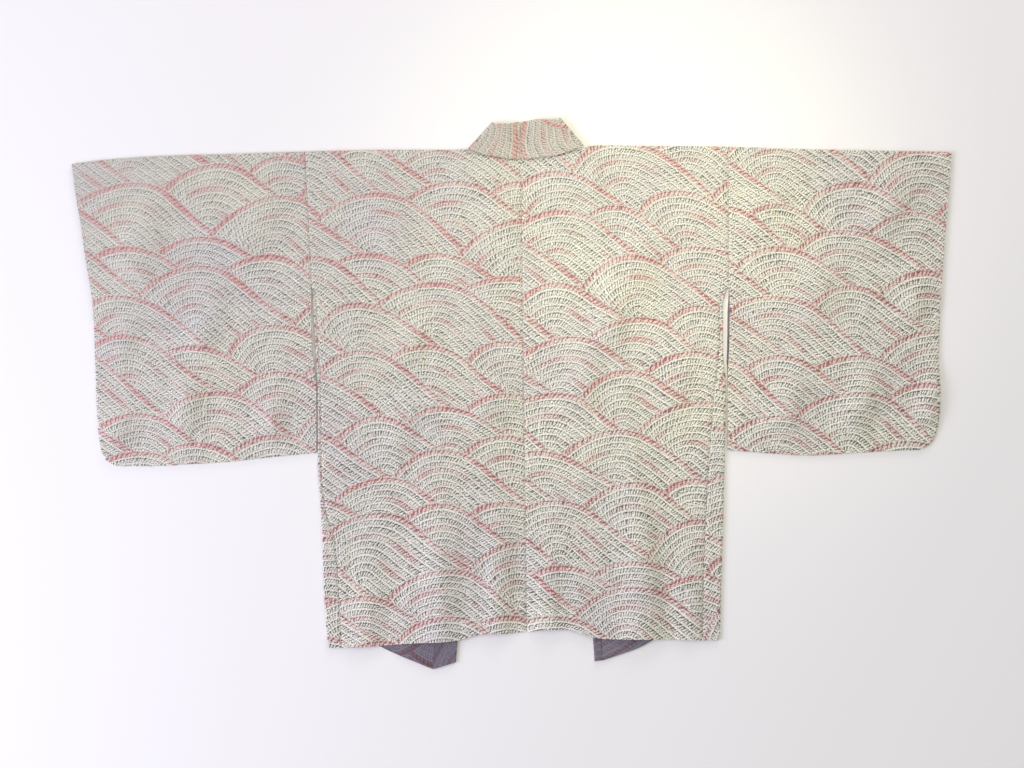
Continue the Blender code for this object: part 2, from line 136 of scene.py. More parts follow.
for side, half in HALVES.items():
    widest = max(abs(row[1]) for row in half["sleeve_outer"])
    print(f"{side}: sleeve reaches {widest} mm out, collar band seen at the neck "
          f"{math.dist(half['collar_seam'][0], half['collar_fold'][0]):.0f} mm wide")

# %% [markdown]
# ## Reading the tables
#
# A smooth curve through a table can be drawn in many ways. A plain cubic swings past its points
# where they turn sharply, and cloth edges made that way bulge. The slopes here are harmonic means
# of the neighbouring steps, so the curve never leaves the span between two rows.

# %% Curves through the tables
def follow(table, at, column=1):
    """Value of a table's column at a place in its first one, as a curve that never swings past the rows."""
    keys = np.array([row[0] for row in table], float)
    values = np.array([row[column] for row in table], float)
    steep = np.diff(values) / np.diff(keys)
    product = steep[:-1] * steep[1:]
    total = np.where(product > 0, steep[:-1] + steep[1:], 1)
    slopes = np.concatenate((steep[:1], np.where(product > 0, 2 * product / total, 0), steep[-1:]))
    at = np.clip(at, keys[0], keys[-1])
    low = np.clip(np.searchsorted(keys, at) - 1, 0, len(keys) - 2)
    step = keys[low + 1] - keys[low]
    t = (at - keys[low]) / step
    lean = (1 - t) * (slopes[low] - steep[low]) - t * (slopes[low + 1] - steep[low])
    return values[low] + (values[low + 1] - values[low]) * t + t * (1 - t) * step * lean


def ease(value):
    """Smooth step from 0 to 1."""
    value = np.clip(value, 0, 1)
    return value * value * (3 - 2 * value)


def level(number):
    """Height of the middle of a layer, counted up from the floor."""
    return WALL / 2 + number * LAYER


def on_line(ends, up):
    """Across at a height on the straight line between two points."""
    (top_x, top_y), (foot_x, foot_y) = ends
    return top_x + (foot_x - top_x) * (top_y - up) / (top_y - foot_y)


def centre_line(up):
    return on_line((NECK_CENTRE, HEM_CENTRE), up)


print("hem at the centre back:", round(float(follow(BACK_HEM, HEM_CENTRE[0])), 1), "mm")

# %% [markdown]
# ## Folds and creases
#
# Silk that has been folded for years never lies dead flat. Three kinds of unevenness make it: broad
# low swells where the layers below hold the cloth up, long soft pull lines that run from the
# armholes and the neck, and short sharp creases from storage. A simulation would invent its own,
# so each one is a row of a table with its own place, length, width and height.

# %% Broad swells and creases
# foot across, foot up, head across, head up, half width, height
SOFT_FOLDS = (
    (-226, -470, -206, -190, 38, 6.5), (-112, -470, -104, -70, 40, 9.8), (-20, -440, -14, -90, 32, 8.5),
    (58, -440, 50, -170, 34, 8.5), (196, -470, 190, -40, 44, 9.8), (268, -420, 262, -160, 30, 5.2),
    (-190, -110, -120, 40, 40, 6.5), (-176, 20, -108, 150, 38, 7.2), (-60, -60, 40, 70, 46, 5.9),
    (90, -50, 130, 110, 40, 6.5), (120, 40, 236, 330, 50, 7.8), (-230, 300, -120, 170, 46, 5.2),
    (228, -60, 272, 120, 34, 5.2), (-30, 330, 40, 150, 50, 4.5),
    (-610, -80, -560, -20, 34, 7.8), (-500, -84, -470, 60, 40, 9.1), (-372, -84, -340, 40, 36, 7.8),
    (-480, 40, -430, 190, 40, 7.2), (-580, 150, -520, 330, 46, 7.8), (-420, 180, -350, 330, 46, 5.2),
    (-600, 30, -560, 140, 32, 5.9),
    (500, -76, 552, 70, 40, 10.0), (618, -60, 640, 60, 30, 9.1), (396, -80, 440, 90, 42, 7.2),
    (430, 90, 500, 240, 44, 6.5), (540, 230, 600, 350, 42, 8.5), (350, 240, 430, 350, 44, 5.9),
    (590, 90, 620, 210, 34, 6.5),
)
FOLD_RISE = 0.3                   # part of a fold's length in which it rises from its foot
FOLD_FADE = 0.6                   # and in which it fades towards its head
UNDER_FADE = 0.5                  # the same of a crease in the layer on the floor

# One end across and up, the other end across and up, half width, height (below 0: a trough)
CREASES = (
    (-118, -362, -112, -236, 7, -1.3), (-84, -366, -80, -150, 9, 1.5), (-62, -352, -70, -262, 5, -1.0),
    (-30, -358, -24, -118, 8, 1.3), (-8, -350, -14, -250, 5, -0.9), (46, -352, 40, -220, 7, 1.2),
    (66, -352, 78, -286, 5, -1.1), (96, -352, 104, -200, 8, 1.4), (128, -366, 122, -280, 5, -0.9),
    (-214, -376, -206, -262, 6, 0.9), (-246, -372, -236, -150, 6, -0.8), (204, -366, 214, -244, 6, 1.0),
    (262, -366, 250, -130, 7, -0.9), (178, -360, 170, -300, 4, -0.8), (-160, -372, -152, -310, 4, -0.8),
    (-292, 150, -196, 84, 8, 1.3), (-286, 172, -150, 152, 9, -1.0), (-280, 128, -226, 36, 6, -1.0),
    (312, 150, 226, 66, 8, 1.3), (306, 168, 176, 156, 9, -1.0), (302, 128, 262, 20, 6, -0.9),
    (-58, 352, -120, 286, 7, 1.2), (-24, 348, -52, 262, 6, -0.9), (92, 356, 150, 284, 7, 1.2),
    (58, 350, 74, 254, 6, -0.9), (-150, 90, -106, -34, 10, 1.2), (-116, 76, -60, -40, 8, -0.9),
    (120, 120, 168, 10, 9, 1.1), (70, -60, 52, -190, 8, -0.9), (-180, -60, -142, -196, 9, 1.1),
    (-330, 330, -420, 250, 9, 1.2), (-338, 168, -430, 120, 8, -1.0), (-322, 148, -392, 60, 8, 1.3),
    (-610, 40, -560, 120, 8, -1.0), (-604, -60, -520, 10, 9, 1.4), (-560, -100, -540, -20, 6, -1.0),
    (-470, -102, -446, 16, 8, 1.2), (-430, -100, -424, -40, 5, -0.9), (-350, -92, -362, -6, 6, 1.0),
    (-640, 320, -580, 226, 8, -0.9), (-500, 344, -470, 236, 8, 1.0), (-312, -30, -380, 30, 7, -0.9),
    (346, 340, 430, 262, 9, 1.2), (350, 166, 440, 128, 8, -1.0), (344, 146, 414, 48, 8, 1.3),
    (628, 30, 566, 110, 8, -1.0), (622, -50, 540, 20, 9, 1.4), (580, -84, 560, -8, 6, -1.0),
    (490, -88, 470, 24, 8, 1.2), (452, -90, 446, -30, 5, -0.9), (372, -86, 384, 0, 6, 1.0),
    (644, 330, 590, 232, 8, -0.9), (520, 350, 492, 240, 8, 1.0), (334, -20, 396, 40, 7, -0.9),
    (560, 190, 500, 60, 12, 1.3), (536, 220, 470, 150, 9, -1.0), (-600, 230, -520, 130, 11, 1.1),
)
# The same for the layer that lies on the floor: only troughs, which leave the floor
UNDER_CREASES = (
    (-250, -340, -236, -60, 9, -0.7), (-206, -350, -198, -210, 6, -0.6), (-240, 40, -168, 190, 10, -0.7),
    (-150, 230, -270, 300, 8, -0.6), (260, -330, 246, -80, 9, -0.7), (214, -340, 222, -190, 6, -0.6),
    (270, 60, 190, 200, 10, -0.7), (170, 260, 290, 310, 8, -0.6), (-380, -70, -360, 130, 9, -0.7),
    (-520, -84, -490, 60, 8, -0.6), (-590, 60, -560, 280, 8, -0.7), (-420, 330, -470, 200, 8, -0.6),
    (420, -60, 400, 140, 9, -0.7), (556, -60, 520, 70, 8, -0.6), (610, 70, 580, 290, 8, -0.7),
    (450, 340, 500, 210, 8, -0.6),
)


def ridge(table, x, y, fade):
    """Sum of the rows of a table of folds: each rises from one end and fades towards the other."""
    total = np.zeros_like(x + y, dtype=float)
    for foot_x, foot_y, head_x, head_y, half_width, height in table:
        run = np.array((head_x - foot_x, head_y - foot_y), float)
        length = np.hypot(*run)
        run /= length
        along = ((x - foot_x) * run[0] + (y - foot_y) * run[1]) / length
        off = np.abs((x - foot_x) * run[1] - (y - foot_y) * run[0]) / half_width
        shape = ease(along / FOLD_RISE) * ease((1 - along) / fade)
        total = total + height * shape * (0.5 + 0.5 * np.cos(np.pi * np.clip(off, 0, 1)))
    return total


def top_rise(x, y):
    """How far the folds and the creases lift the top layer."""
    return ridge(SOFT_FOLDS, x, y, FOLD_FADE) + ridge(CREASES, x, y, FOLD_FADE)


def under_dent(x, y):
    """How far the layer on the floor stands off it, as a relief of its right side."""
    return ridge(UNDER_CREASES, x, y, UNDER_FADE)


print(len(SOFT_FOLDS), "swells,", len(CREASES), "creases on top,", len(UNDER_CREASES), "underneath")

# %% [markdown]
# ## Sums that work on meshes and on materials
#
# The wave rows are needed twice: the shell rises and falls with them, and the dye follows them.
# Written twice, the two would drift apart. So the pattern is one Python function, and two small
# classes let it run on either kind of value: `Numbers` holds one value or vector for each point of
# a mesh, and `Shade` holds a socket of a material, where every sign in a sum adds a Math node. The
# signs that both know stand in one table, so neither class can have one that the other lacks.

# %% Values on the points of a mesh
# name in a sum: the function for numbers, the operation of a Math node
SIGNS = {
    "__add__": (np.add, "ADD"), "__radd__": (np.add, "ADD"), "__sub__": (np.subtract, "SUBTRACT"),
    "__mul__": (np.multiply, "MULTIPLY"), "__rmul__": (np.multiply, "MULTIPLY"),
    "__truediv__": (np.divide, "DIVIDE"), "sine": (np.sin, "SINE"), "floor": (np.floor, "FLOOR"),
    "least": (np.minimum, "MINIMUM"), "most": (np.maximum, "MAXIMUM"),
    "below": (lambda low, high: (low < high).astype(float), "LESS_THAN"), "angle": (np.arctan2, "ARCTAN2"),
}


class Numbers:
    """One number or one vector for each of many points."""

    def __init__(self, values):
        self.values = values

    def raw(self, other):
        return other.values if isinstance(other, Numbers) else np.array(other, float)

    def __rsub__(self, other):
        return Numbers(self.raw(other) - self.values)

    def dot(self, other):
        return Numbers((self.values * self.raw(other)).sum(axis=-1, keepdims=True))

    def length(self):
        return Numbers(np.linalg.norm(self.values, axis=-1, keepdims=True))

    def parts(self):
        return [Numbers(self.values[..., place:place + 1]) for place in range(3)]

    def joined(self, second, third):
        terms = self.values, self.raw(second), self.raw(third)
        return Numbers(np.concatenate(np.broadcast_arrays(*terms), -1))

    def choose(self, low, high):
        return Numbers(np.where(self.values > 0.5, high.values, low.values))


for sign, (function, _) in SIGNS.items():
    setattr(Numbers, sign, lambda self, *others, function=function: Numbers(
        function(self.values, *(self.raw(other) for other in others))))
print("three times a half on points:", (Numbers(np.full((2, 1), 0.5)) * 3).values.ravel())

# %% Values in a material
class Shade:
    """A socket of a material that can be written in sums."""

    def __init__(self, tree, socket):
        self.tree = tree
        self.socket = socket

    def node(self, kind, settings, inputs, output=0):
        """Adds a node with its settings, then the values or links of its inputs."""
        made = self.tree.nodes.new(kind)
        for name, value in settings.items():
            setattr(made, name, value)
        for place, value in inputs.items():
            if isinstance(value, Shade):
                self.tree.links.new(value.socket, made.inputs[place])
            else:
                made.inputs[place].default_value = value
        return Shade(self.tree, made.outputs[output])

    def is_vector(self, value):
        return value.socket.type != "VALUE" if isinstance(value, Shade) else isinstance(value, tuple)

    def sum(self, operation, *terms, output=0):
        """A Math node, or a Vector Math node where a term is a vector."""
        if not any(self.is_vector(term) for term in terms):
            return self.node("ShaderNodeMath", {"operation": operation}, dict(enumerate(terms)))
        terms = [term if isinstance(term, (Shade, tuple)) else (term, term, term) for term in terms]
        return self.node("ShaderNodeVectorMath", {"operation": operation}, dict(enumerate(terms)), output)

    def __rsub__(self, other):
        return self.sum("SUBTRACT", other, self)

    def dot(self, other):
        return self.sum("DOT_PRODUCT", self, other, output="Value")

    def length(self):
        return self.sum("LENGTH", self, output="Value")

    def parts(self):
        split = self.node("ShaderNodeSeparateXYZ", {}, {0: self}).socket.node
        return [Shade(self.tree, socket) for socket in split.outputs]

    def joined(self, second, third):
        return self.node("ShaderNodeCombineXYZ", {}, {0: self, 1: second, 2: third})

    def choose(self, low, high):
        """Low where this is 0 and high where it is 1: numbers, vectors or colours."""
        if isinstance(high, tuple) or high.socket.type == "RGBA":
            kind, first, output = "RGBA", 6, 2
        elif high.socket.type == "VECTOR":
            kind, first, output = "VECTOR", 4, 1
        else:
            kind, first, output = "FLOAT", 2, 0
        return self.node("ShaderNodeMix", {"data_type": kind}, {0: self, first: low, first + 1: high}, output)


for sign, (_, operation) in SIGNS.items():
    setattr(Shade, sign, lambda self, *others, operation=operation: self.sum(operation, self, *others))
print("signs that both classes know:", ", ".join(SIGNS))

# %% [markdown]
# ## The wave rows
#
# The pattern is the old one of ocean waves, drawn by a tie-dyer's thread. Every wave is the same
# figure: a round head on the left and a long tail that runs down to the right, filled with rows
# that follow its outline. The waves stand on a slanting lattice, and each one hides part of those
# above it, as roof tiles do. A dyer's hand shifts and swells each of them a little.
#
# For any spot, the function tries the five waves that could cover it, the highest first, and keeps
# the last that does. Each is kept as one vector in the tails' direction: how far along the tail,
# how far across, and the head's radius. A sine of the wave's own number moves it off the lattice.

# %% Where a spot lies in its wave
STEP_ACROSS = (106.0, -60.0)      # from a wave to its right neighbour
STEP_DOWN = (0.0, -83.0)          # and to the one below
LATTICE_UP = 60.0
HEAD_RADIUS = 95.0
TAIL_ANGLE = math.radians(-37)
ROW_PITCH = 9.7                   # from one gathered row to the next
WANDER = (-12.0, -9.0, 9.0)       # of a wave: along its tail, across it, in its radius
WAVE_SEEDS = ((2.4, 1.3, 4.1), (1.7, 3.1, 2.3), (0.4, 2.1, 5.0))
# Neighbours that can cover a spot, from the highest to the lowest: steps across, steps down
COVERING = ((1, -1), (0, 0), (-1, 1), (1, 0), (0, 1))
# Wander of the drawn lines: turns for each mm across and up, start, and reach in mm
SLOW_WANDER = (1 / 190, 1 / 83, 0.0), (1 / 71, 1 / 160, 0.0), (1.3, 0.7, 0.0), (9.0, 8.0, 0.0)
QUICK_WANDER = (1 / 31, -1 / 47, 0.0), (1 / 50, 1 / 33, 0.0), (0.0, 0.0, 0.0), (3.0, 3.0, 0.0)
FAR = 1e4                         # further than any place on the cloth
TAIL = (math.cos(TAIL_ANGLE), math.sin(TAIL_ANGLE), 0.0)
ACROSS_TAIL = (-math.sin(TAIL_ANGLE), math.cos(TAIL_ANGLE), 0.0)


def hand_drawn(spot):
    """The spot moved as the lines of a pattern drawn by hand wander."""
    x, y, _ = spot.parts()
    moved = spot
    for by_x, by_y, start, reach in (SLOW_WANDER, QUICK_WANDER):
        moved = moved + (x * by_x + y * by_y + start).sine() * reach
    return moved


def wave_of(spot):
    """Place in the wave that covers a spot, as a vector: along its tail, across it, its radius."""
    x, y, _ = spot.parts()
    across = (x / STEP_ACROSS[0]).floor()
    down = ((y - LATTICE_UP - across * STEP_ACROSS[1]) / STEP_DOWN[1]).floor()
    near = spot - across * (*STEP_ACROSS, 0.0) - down * (*STEP_DOWN, 0.0)
    start = near.dot(TAIL).joined(near.dot(ACROSS_TAIL), HEAD_RADIUS)
    seed = across * WAVE_SEEDS[0] + down * WAVE_SEEDS[1] + WAVE_SEEDS[2]
    kept = None
    for step_across, step_down in COVERING:
        foot = [step_across * a + step_down * d for a, d in zip(STEP_ACROSS, STEP_DOWN)]
        along = foot[0] * TAIL[0] + foot[1] * TAIL[1]
        beside = foot[0] * ACROSS_TAIL[0] + foot[1] * ACROSS_TAIL[1]
        own = [step_across * a + step_down * d for a, d in zip(*WAVE_SEEDS[:2])]
        wave = start - (along, beside, 0.0) + (seed + tuple(own)).sine() * WANDER
        if kept is None:
            kept = wave
        else:
            head = wave.least((0.0, FAR, FAR))
            inside = (head * (1.0, 1.0, -1.0)).dot(head).below(0.0)
            kept = inside.choose(kept, wave)
    return kept


def rows_of(spot):
    """The gathered row at a spot: its number from the crest, the share of its width, the length
    along it and its wave's radius."""
    wave = wave_of(hand_drawn(spot))
    along, beside, radius = wave.parts()
    depth = (radius - wave.least((0.0, FAR, 0.0)).length()) / ROW_PITCH
    number = depth.floor()
    middle = radius - (number + 0.5) * ROW_PITCH
    length = along.most(0.0) - (0.0 - along.least(0.0)).angle(beside) * middle
    return number, depth - number, length, radius


def arch(share):
    """A round back over a share of a width: 0 at both ends and 1 in the middle."""
    return share * (1.0 - share) * 4.0


places = np.arange(-300.0, 300.0, 7)
spots = Numbers(np.stack(np.meshgrid(places, places, [0.0]), -1))
print("rows from a crest to the wave below:", int(rows_of(spots)[0].values.max()) + 1)

# %% [markdown]
# ## The silk
#
# Close up, the cloth is ivory silk with grey shadows where the thread pulled it in; these are painted
# shade in its colour. Each row is a ladder of slanting puckers, a few millimetres apart and never quite
# even, with a bare line of flat silk above it. The first row of every wave is dyed a dusty rose, and
# the fourth and the seventh carry paler echoes that come and go along their length. Towards the upper
# left the puckers are shallower, so their bump and their painted shade are weaker there, standing in
# for softer light; on the collar band they are shallower too.
#
# A pucker is a pixel or two wide from any distance at which the whole jacket shows, so the puckers
# are colour and bump rather than geometry: the shade in their gathers and the light on their crowns
# are painted into the colour. Their unevenness is noise, but noise that is read along the rows, not
# across the cloth, so it pushes stitches together and apart without breaking a row.
# Age is a slow noise over the whole jacket, so its patches cross the seams as real ones do. The
# same dye makes three silks: the body's, the duller one of the band, and a greyer wrong side, which
# is also darkened as painted shade for where it lies under the back's hem.

# %% Puckers along a row
PUCKER_PITCH = 4.2                # from one pucker of a row to the next
CREST_PITCH = 6.6                 # the same on the dyed row, where the thread was pulled less
PUCKER_LEAN = 0.9                 # pitches that a pucker slants by across its row
ROW_START = 7.0                   # each row starts its stitches somewhere else
DRIFT = 1.5                       # pitches by which uneven stitches wander
DRIFT_RUN = 5.0                   # length along a row in which that wander changes
SLOW_RUN = 9.0                    # the same for slower changes
# Numbers with no meaning of their own: they set the rows and the waves apart
START_SEEDS, DRIFT_SEEDS, CHANCE_SEEDS, SLOW_SEED = (5.3, 1.9), (3.1, 0.6), (12.9, 78.2), 2.3


def noise(at, place, scale=1.0, detail=0.0):
    """Soft noise at a place, from 0 to 1 and mostly near a half."""
    return at.node("ShaderNodeTexNoise", {}, {"Vector": place, "Scale": scale, "Detail": detail})


def only(number, row):
    """1 on one of a wave's rows and 0 on the others."""
    off = number - row
    return (off * off).below(0.25)


def band(share, middle, half_width):
    """A soft line along a row: 1 at its middle, 0 half a width away."""
    off = (share - middle) / half_width
    return (1.0 - off.most(off * -1.0)).most(0.0)


def puckers_of(number, share, length, radius):
    """Arch of the puckers, from 0 in the gathers to 1 on the crowns, and a chance value from -1 to 1
    for each of them."""
    start = (number * START_SEEDS[0] + radius * START_SEEDS[1]).sine() * ROW_START
    beside = number * DRIFT_SEEDS[0] + share * DRIFT_SEEDS[1]
    drift = noise(length, (length / DRIFT_RUN).joined(beside, radius), 1.0, 1.0)
    steps = number.below(0.5) * (1 / CREST_PITCH - 1 / PUCKER_PITCH) + 1 / PUCKER_PITCH
    turn = length * steps + share * PUCKER_LEAN + start + (drift - 0.5) * DRIFT
    pucker = turn.floor()
    return arch(turn - pucker), (pucker * CHANCE_SEEDS[0] + number * CHANCE_SEEDS[1]).sine()


# %% Height of the silk, which also sets the puckers' painted shade and light
DEPTH_AND_SHADE_SLOPE = (0.58, -0.85, 0.0)      # change of the puckers' depth over a metre: shallower to the upper left, which weakens their bump and painted shade there, standing in for softer light
DEEPEST = 1.3                     # most that the depth becomes
CROWN = (0.58, 0.12, 1.5)         # arch where a pucker's painted shade turns to painted light, its part of chance, the rise there
SWING = (-0.6, 0.42)              # lowest and highest that a pucker swings, from painted shade to painted light
ROW_EDGE = 0.2                    # part of the swing that is left at the edges of a row
BARE_LINE = (0.09, 0.2)           # line of flat silk: its middle and half its width, as shares of a row
BARE_PARTS = (0.6, 1.6, 0.18)     # slow noise and grain in it, and what is taken off
DYED_BARE = 0.75                  # part of the line that the dyed row lacks
THREAD_SHADE_LINE = (0.34, 0.14)         # painted shade line where the thread lies, placed like the flat one
THREAD_SHADE_PARTS = (1.3, 1.1, 0.62)    # its most, the slow noise in it, and its depth in colour and bump
GRAIN = (0.62, 0.62, 0.0)         # specks in a millimetre
GRAIN_DEPTH = 3.6
MIDDLE = (0.1, 0.49)              # lift of the silk before and after it is scaled by its depth


def held(value, low=0.0, high=1.0):
    """The value, kept between two ends."""
    return value.most(low).least(high)


def height_and_shade_of(flat, depth, rows, pucker, chance):
    """Height of the silk at its depth, from 0 in the gathers to 1 on a crown. The same value also
    mixes the painted shade of the gathers with the lit colour of the crowns.
    """
    number, share, length, radius = rows
    light_from, by_chance, rise = CROWN
    slow = noise(flat, (length / SLOW_RUN).joined(number * SLOW_SEED, radius))
    grain = noise(flat, flat * GRAIN, 1.0, 1.0)
    swing = held((pucker - light_from - chance * by_chance) * rise, *SWING)
    swing = swing * (arch(share) * (1 - ROW_EDGE) + ROW_EDGE)
    speckled = (slow * BARE_PARTS[0] + grain * BARE_PARTS[1] - BARE_PARTS[2]).most(0.0)
    bare = (band(share, *BARE_LINE) * speckled * depth).least(1.0) * (1.0 - number.below(0.5) * DYED_BARE)
    # painted shade along the line where the thread lies, which is also a groove in the bump
    drawn = band(share, *THREAD_SHADE_LINE) * (THREAD_SHADE_PARTS[0] - slow * THREAD_SHADE_PARTS[1]) * THREAD_SHADE_PARTS[2]
    height = (swing + (grain - 0.5) * GRAIN_DEPTH - drawn + MIDDLE[0]) * depth + MIDDLE[1]
    return held(height * (1.0 - bare) + bare)


# %% Rose on the rows
CREST_START = (0.05, 0.08)        # share of the row where the dye starts, and its part of chance
CREST_END = (0.98, 0.1)           # the same where it ends
CREST_SHARP = 6.0                 # sharpness of the two edges
CREST_SWELL = (60.0, 2.0, 0.12, 0.86)    # length and start of the dye's slow swells, reach, mean
CREST_CHANCE = (0.14, 0.88)       # reach and mean of its change from pucker to pucker
ROSE_CROWN_HIGHLIGHT = (0.85, 2.4)              # height from which a dyed crown is painted paler as a highlight, and how fast
# Rows with an echo of the dye: row, length and start of its swells, part of chance, mean
ECHOES = ((3, 23.0, 3.0, 0.2, 0.2), (6, 17.0, 5.0, 0.16, 0.15))
ECHO_REACH = 0.22


def swell(length, radius, run, start, reach):
    """A slow rise and fall along a row, which starts elsewhere in every wave."""
    return (length / run + radius * start).sine() * reach


def rose_of(rows, chance, height):
    """How much rose the silk has taken, from 0 to 1."""
    number, share, length, radius = rows
    edges = ((share - CREST_START[0] + chance * CREST_START[1]) * CREST_SHARP).least(
        (CREST_END[0] - share + chance * CREST_END[1]) * CREST_SHARP)
    fading = swell(length, radius, *CREST_SWELL[:3]) + CREST_SWELL[3]
    dyed = number.below(0.5) * held(edges) * (chance * CREST_CHANCE[0] + CREST_CHANCE[1]) * fading
    # painted highlight: the rose is taken off the highest crowns
    dyed = dyed * (1.0 - (height - ROSE_CROWN_HIGHLIGHT[0]).most(0.0) * ROSE_CROWN_HIGHLIGHT[1])
    for row, run, start, by_chance, mean in ECHOES:
        strength = swell(length, radius, run, start, ECHO_REACH) + chance * by_chance + mean
        dyed = dyed + only(number, row) * strength.most(0.0)
    return dyed.least(1.0)


# %% Dyeing the silk, and painting the puckers' shade and highlights into it
SILK_FINISH = {"Roughness": 0.62, "Sheen Weight": 0.25, "Sheen Roughness": 0.4, "Specular IOR Level": 0.35}
CROWN_GLOSS = 0.12                # how much smoother a pucker's crown is
PUCKER_HEIGHT = 0.0007            # of the bump, in metres
BUMP_STRENGTH = 0.75
CLOUDS = (5.5, 3.0)               # scale and detail of the warmer and cooler patches
CLOUD_EDGE = (2.6, 0.8)           # how much they are sharpened, and what is taken off
FLAT_MAP = "cloth"                # name of the map that lays every piece flat
# Ivory, its cooler patches, the painted shade of its gathers, rose, the painted shade of the gathers on rose,
# depth of the puckers
SILKS = {
    "wave_silk": ((253, 252, 234), (241, 238, 234), (88, 87, 84), (238, 200, 193), (146, 92, 94), 0.95),
    "band_silk": ((239, 234, 217), (230, 225, 217), (96, 94, 86), (232, 194, 184), (150, 94, 90), 0.8),
    # the wrong side: greyer in its own colour, and darker still as painted shade for the shadow under the
    # back's hem
    "lining_silk": ((146, 137, 146), (138, 132, 148), (100, 94, 108), (124, 92, 100), (96, 70, 80), 0.6),
}


def paint(red, green, blue):
    """A colour as it is named on a screen, 0 to 255, made linear."""
    return tuple((part / 255 / 12.92 if part < 11 else ((part / 255 + 0.055) / 1.055) ** 2.4)
                 for part in (red, green, blue)) + (1.0,)


def wave_silk(name, ivory, cool_ivory, gather_shade, rose, rose_gather_shade, depth):
    """Puckered silk with the wave rows, in its colours, with puckers pulled in to a depth. The shade in
    the gathers and the light on the crowns are painted into its colour.
    """
    made = bpy.data.materials.new(name)
    made.use_nodes = True
    shader = made.node_tree.nodes["Principled BSDF"]
    for socket, value in SILK_FINISH.items():
        shader.inputs[socket].default_value = value
    flat = Shade(made.node_tree, None).node("ShaderNodeUVMap", {"uv_map": FLAT_MAP}, {})
    flat = flat * (1 / MM, 1 / MM, 0.0)
    place = flat.node("ShaderNodeTexCoord", {}, {}, "Object")

    rows = rows_of(flat)
    pucker, chance = puckers_of(*rows)
    # the depth, and with it the painted shade of the puckers, fades towards the upper left for softer light
    # there
    height = height_and_shade_of(flat, (place.dot(DEPTH_AND_SHADE_SLOPE) + depth).least(DEEPEST), rows, pucker, chance)
    dyed = rose_of(rows, chance, height)
    cloudy = held(noise(flat, place, *CLOUDS) * CLOUD_EDGE[0] - CLOUD_EDGE[1])
    crown = dyed.choose(cloudy.choose(cool_ivory, ivory), rose)
    # painted shade and light: by height, the gathers take the dark colours and the crowns the lit ones
    colour = height.choose(dyed.choose(gather_shade, rose_gather_shade), crown)
    bump = flat.node("ShaderNodeBump", {}, {"Strength": BUMP_STRENGTH, "Distance": PUCKER_HEIGHT,
                                            "Height": height})
    roughness = SILK_FINISH["Roughness"] - pucker * CROWN_GLOSS
    for socket, value in (("Base Color", colour), ("Normal", bump), ("Roughness", roughness)):
        flat.tree.links.new(value.socket, shader.inputs[socket])
    return made


body_silk, band_silk, lining_silk = (
    wave_silk(name, *(paint(*colour) for colour in colours), depth)
    for name, (*colours, depth) in SILKS.items())
print("nodes in the wave silk:", len(body_silk.node_tree.nodes))

# %% [markdown]
# ## A cloth shell from grids
#
# Sewing a piece means laying rectangles of cloth next to each other: the back, the fold, the front.
# So the class below takes grids of points on the middle of the solid's cloth, remembers where each
# point lies on the flat bolt, and weaves the grids together by their points' numbers. At the end it
# gives the cloth its thickness, measured in from the solid's right side, and closes every raw edge.

# %% Grids of cloth
FACE_UP, FACE_DOWN = (0, 0, 1), (0, 0, -1)
SHARP_ANGLE = 50                  # between two squares, in degrees, from which their edge looks sharp
# Where each piece is cut from the bolt: shift across and up, and turn in degrees
CUTS = {
    "body_left": ((0, 0), 0), "body_right": ((41, 27), 0),
    "sleeve_left": ((-66, 51), 0), "sleeve_right": ((23, -38), 0),
    "collar_left": ((72, 8), -30), "collar_right": ((189, 154), -20),
    "gusset_left": ((135, 315), -30), "gusset_right": ((0, 216), -14),
}


def placed(name, data):
    """A new object in the scene, from a mesh, a lamp or a camera."""
    made = bpy.data.objects.new(name, data)
    bpy.context.scene.collection.objects.link(made)
    return made


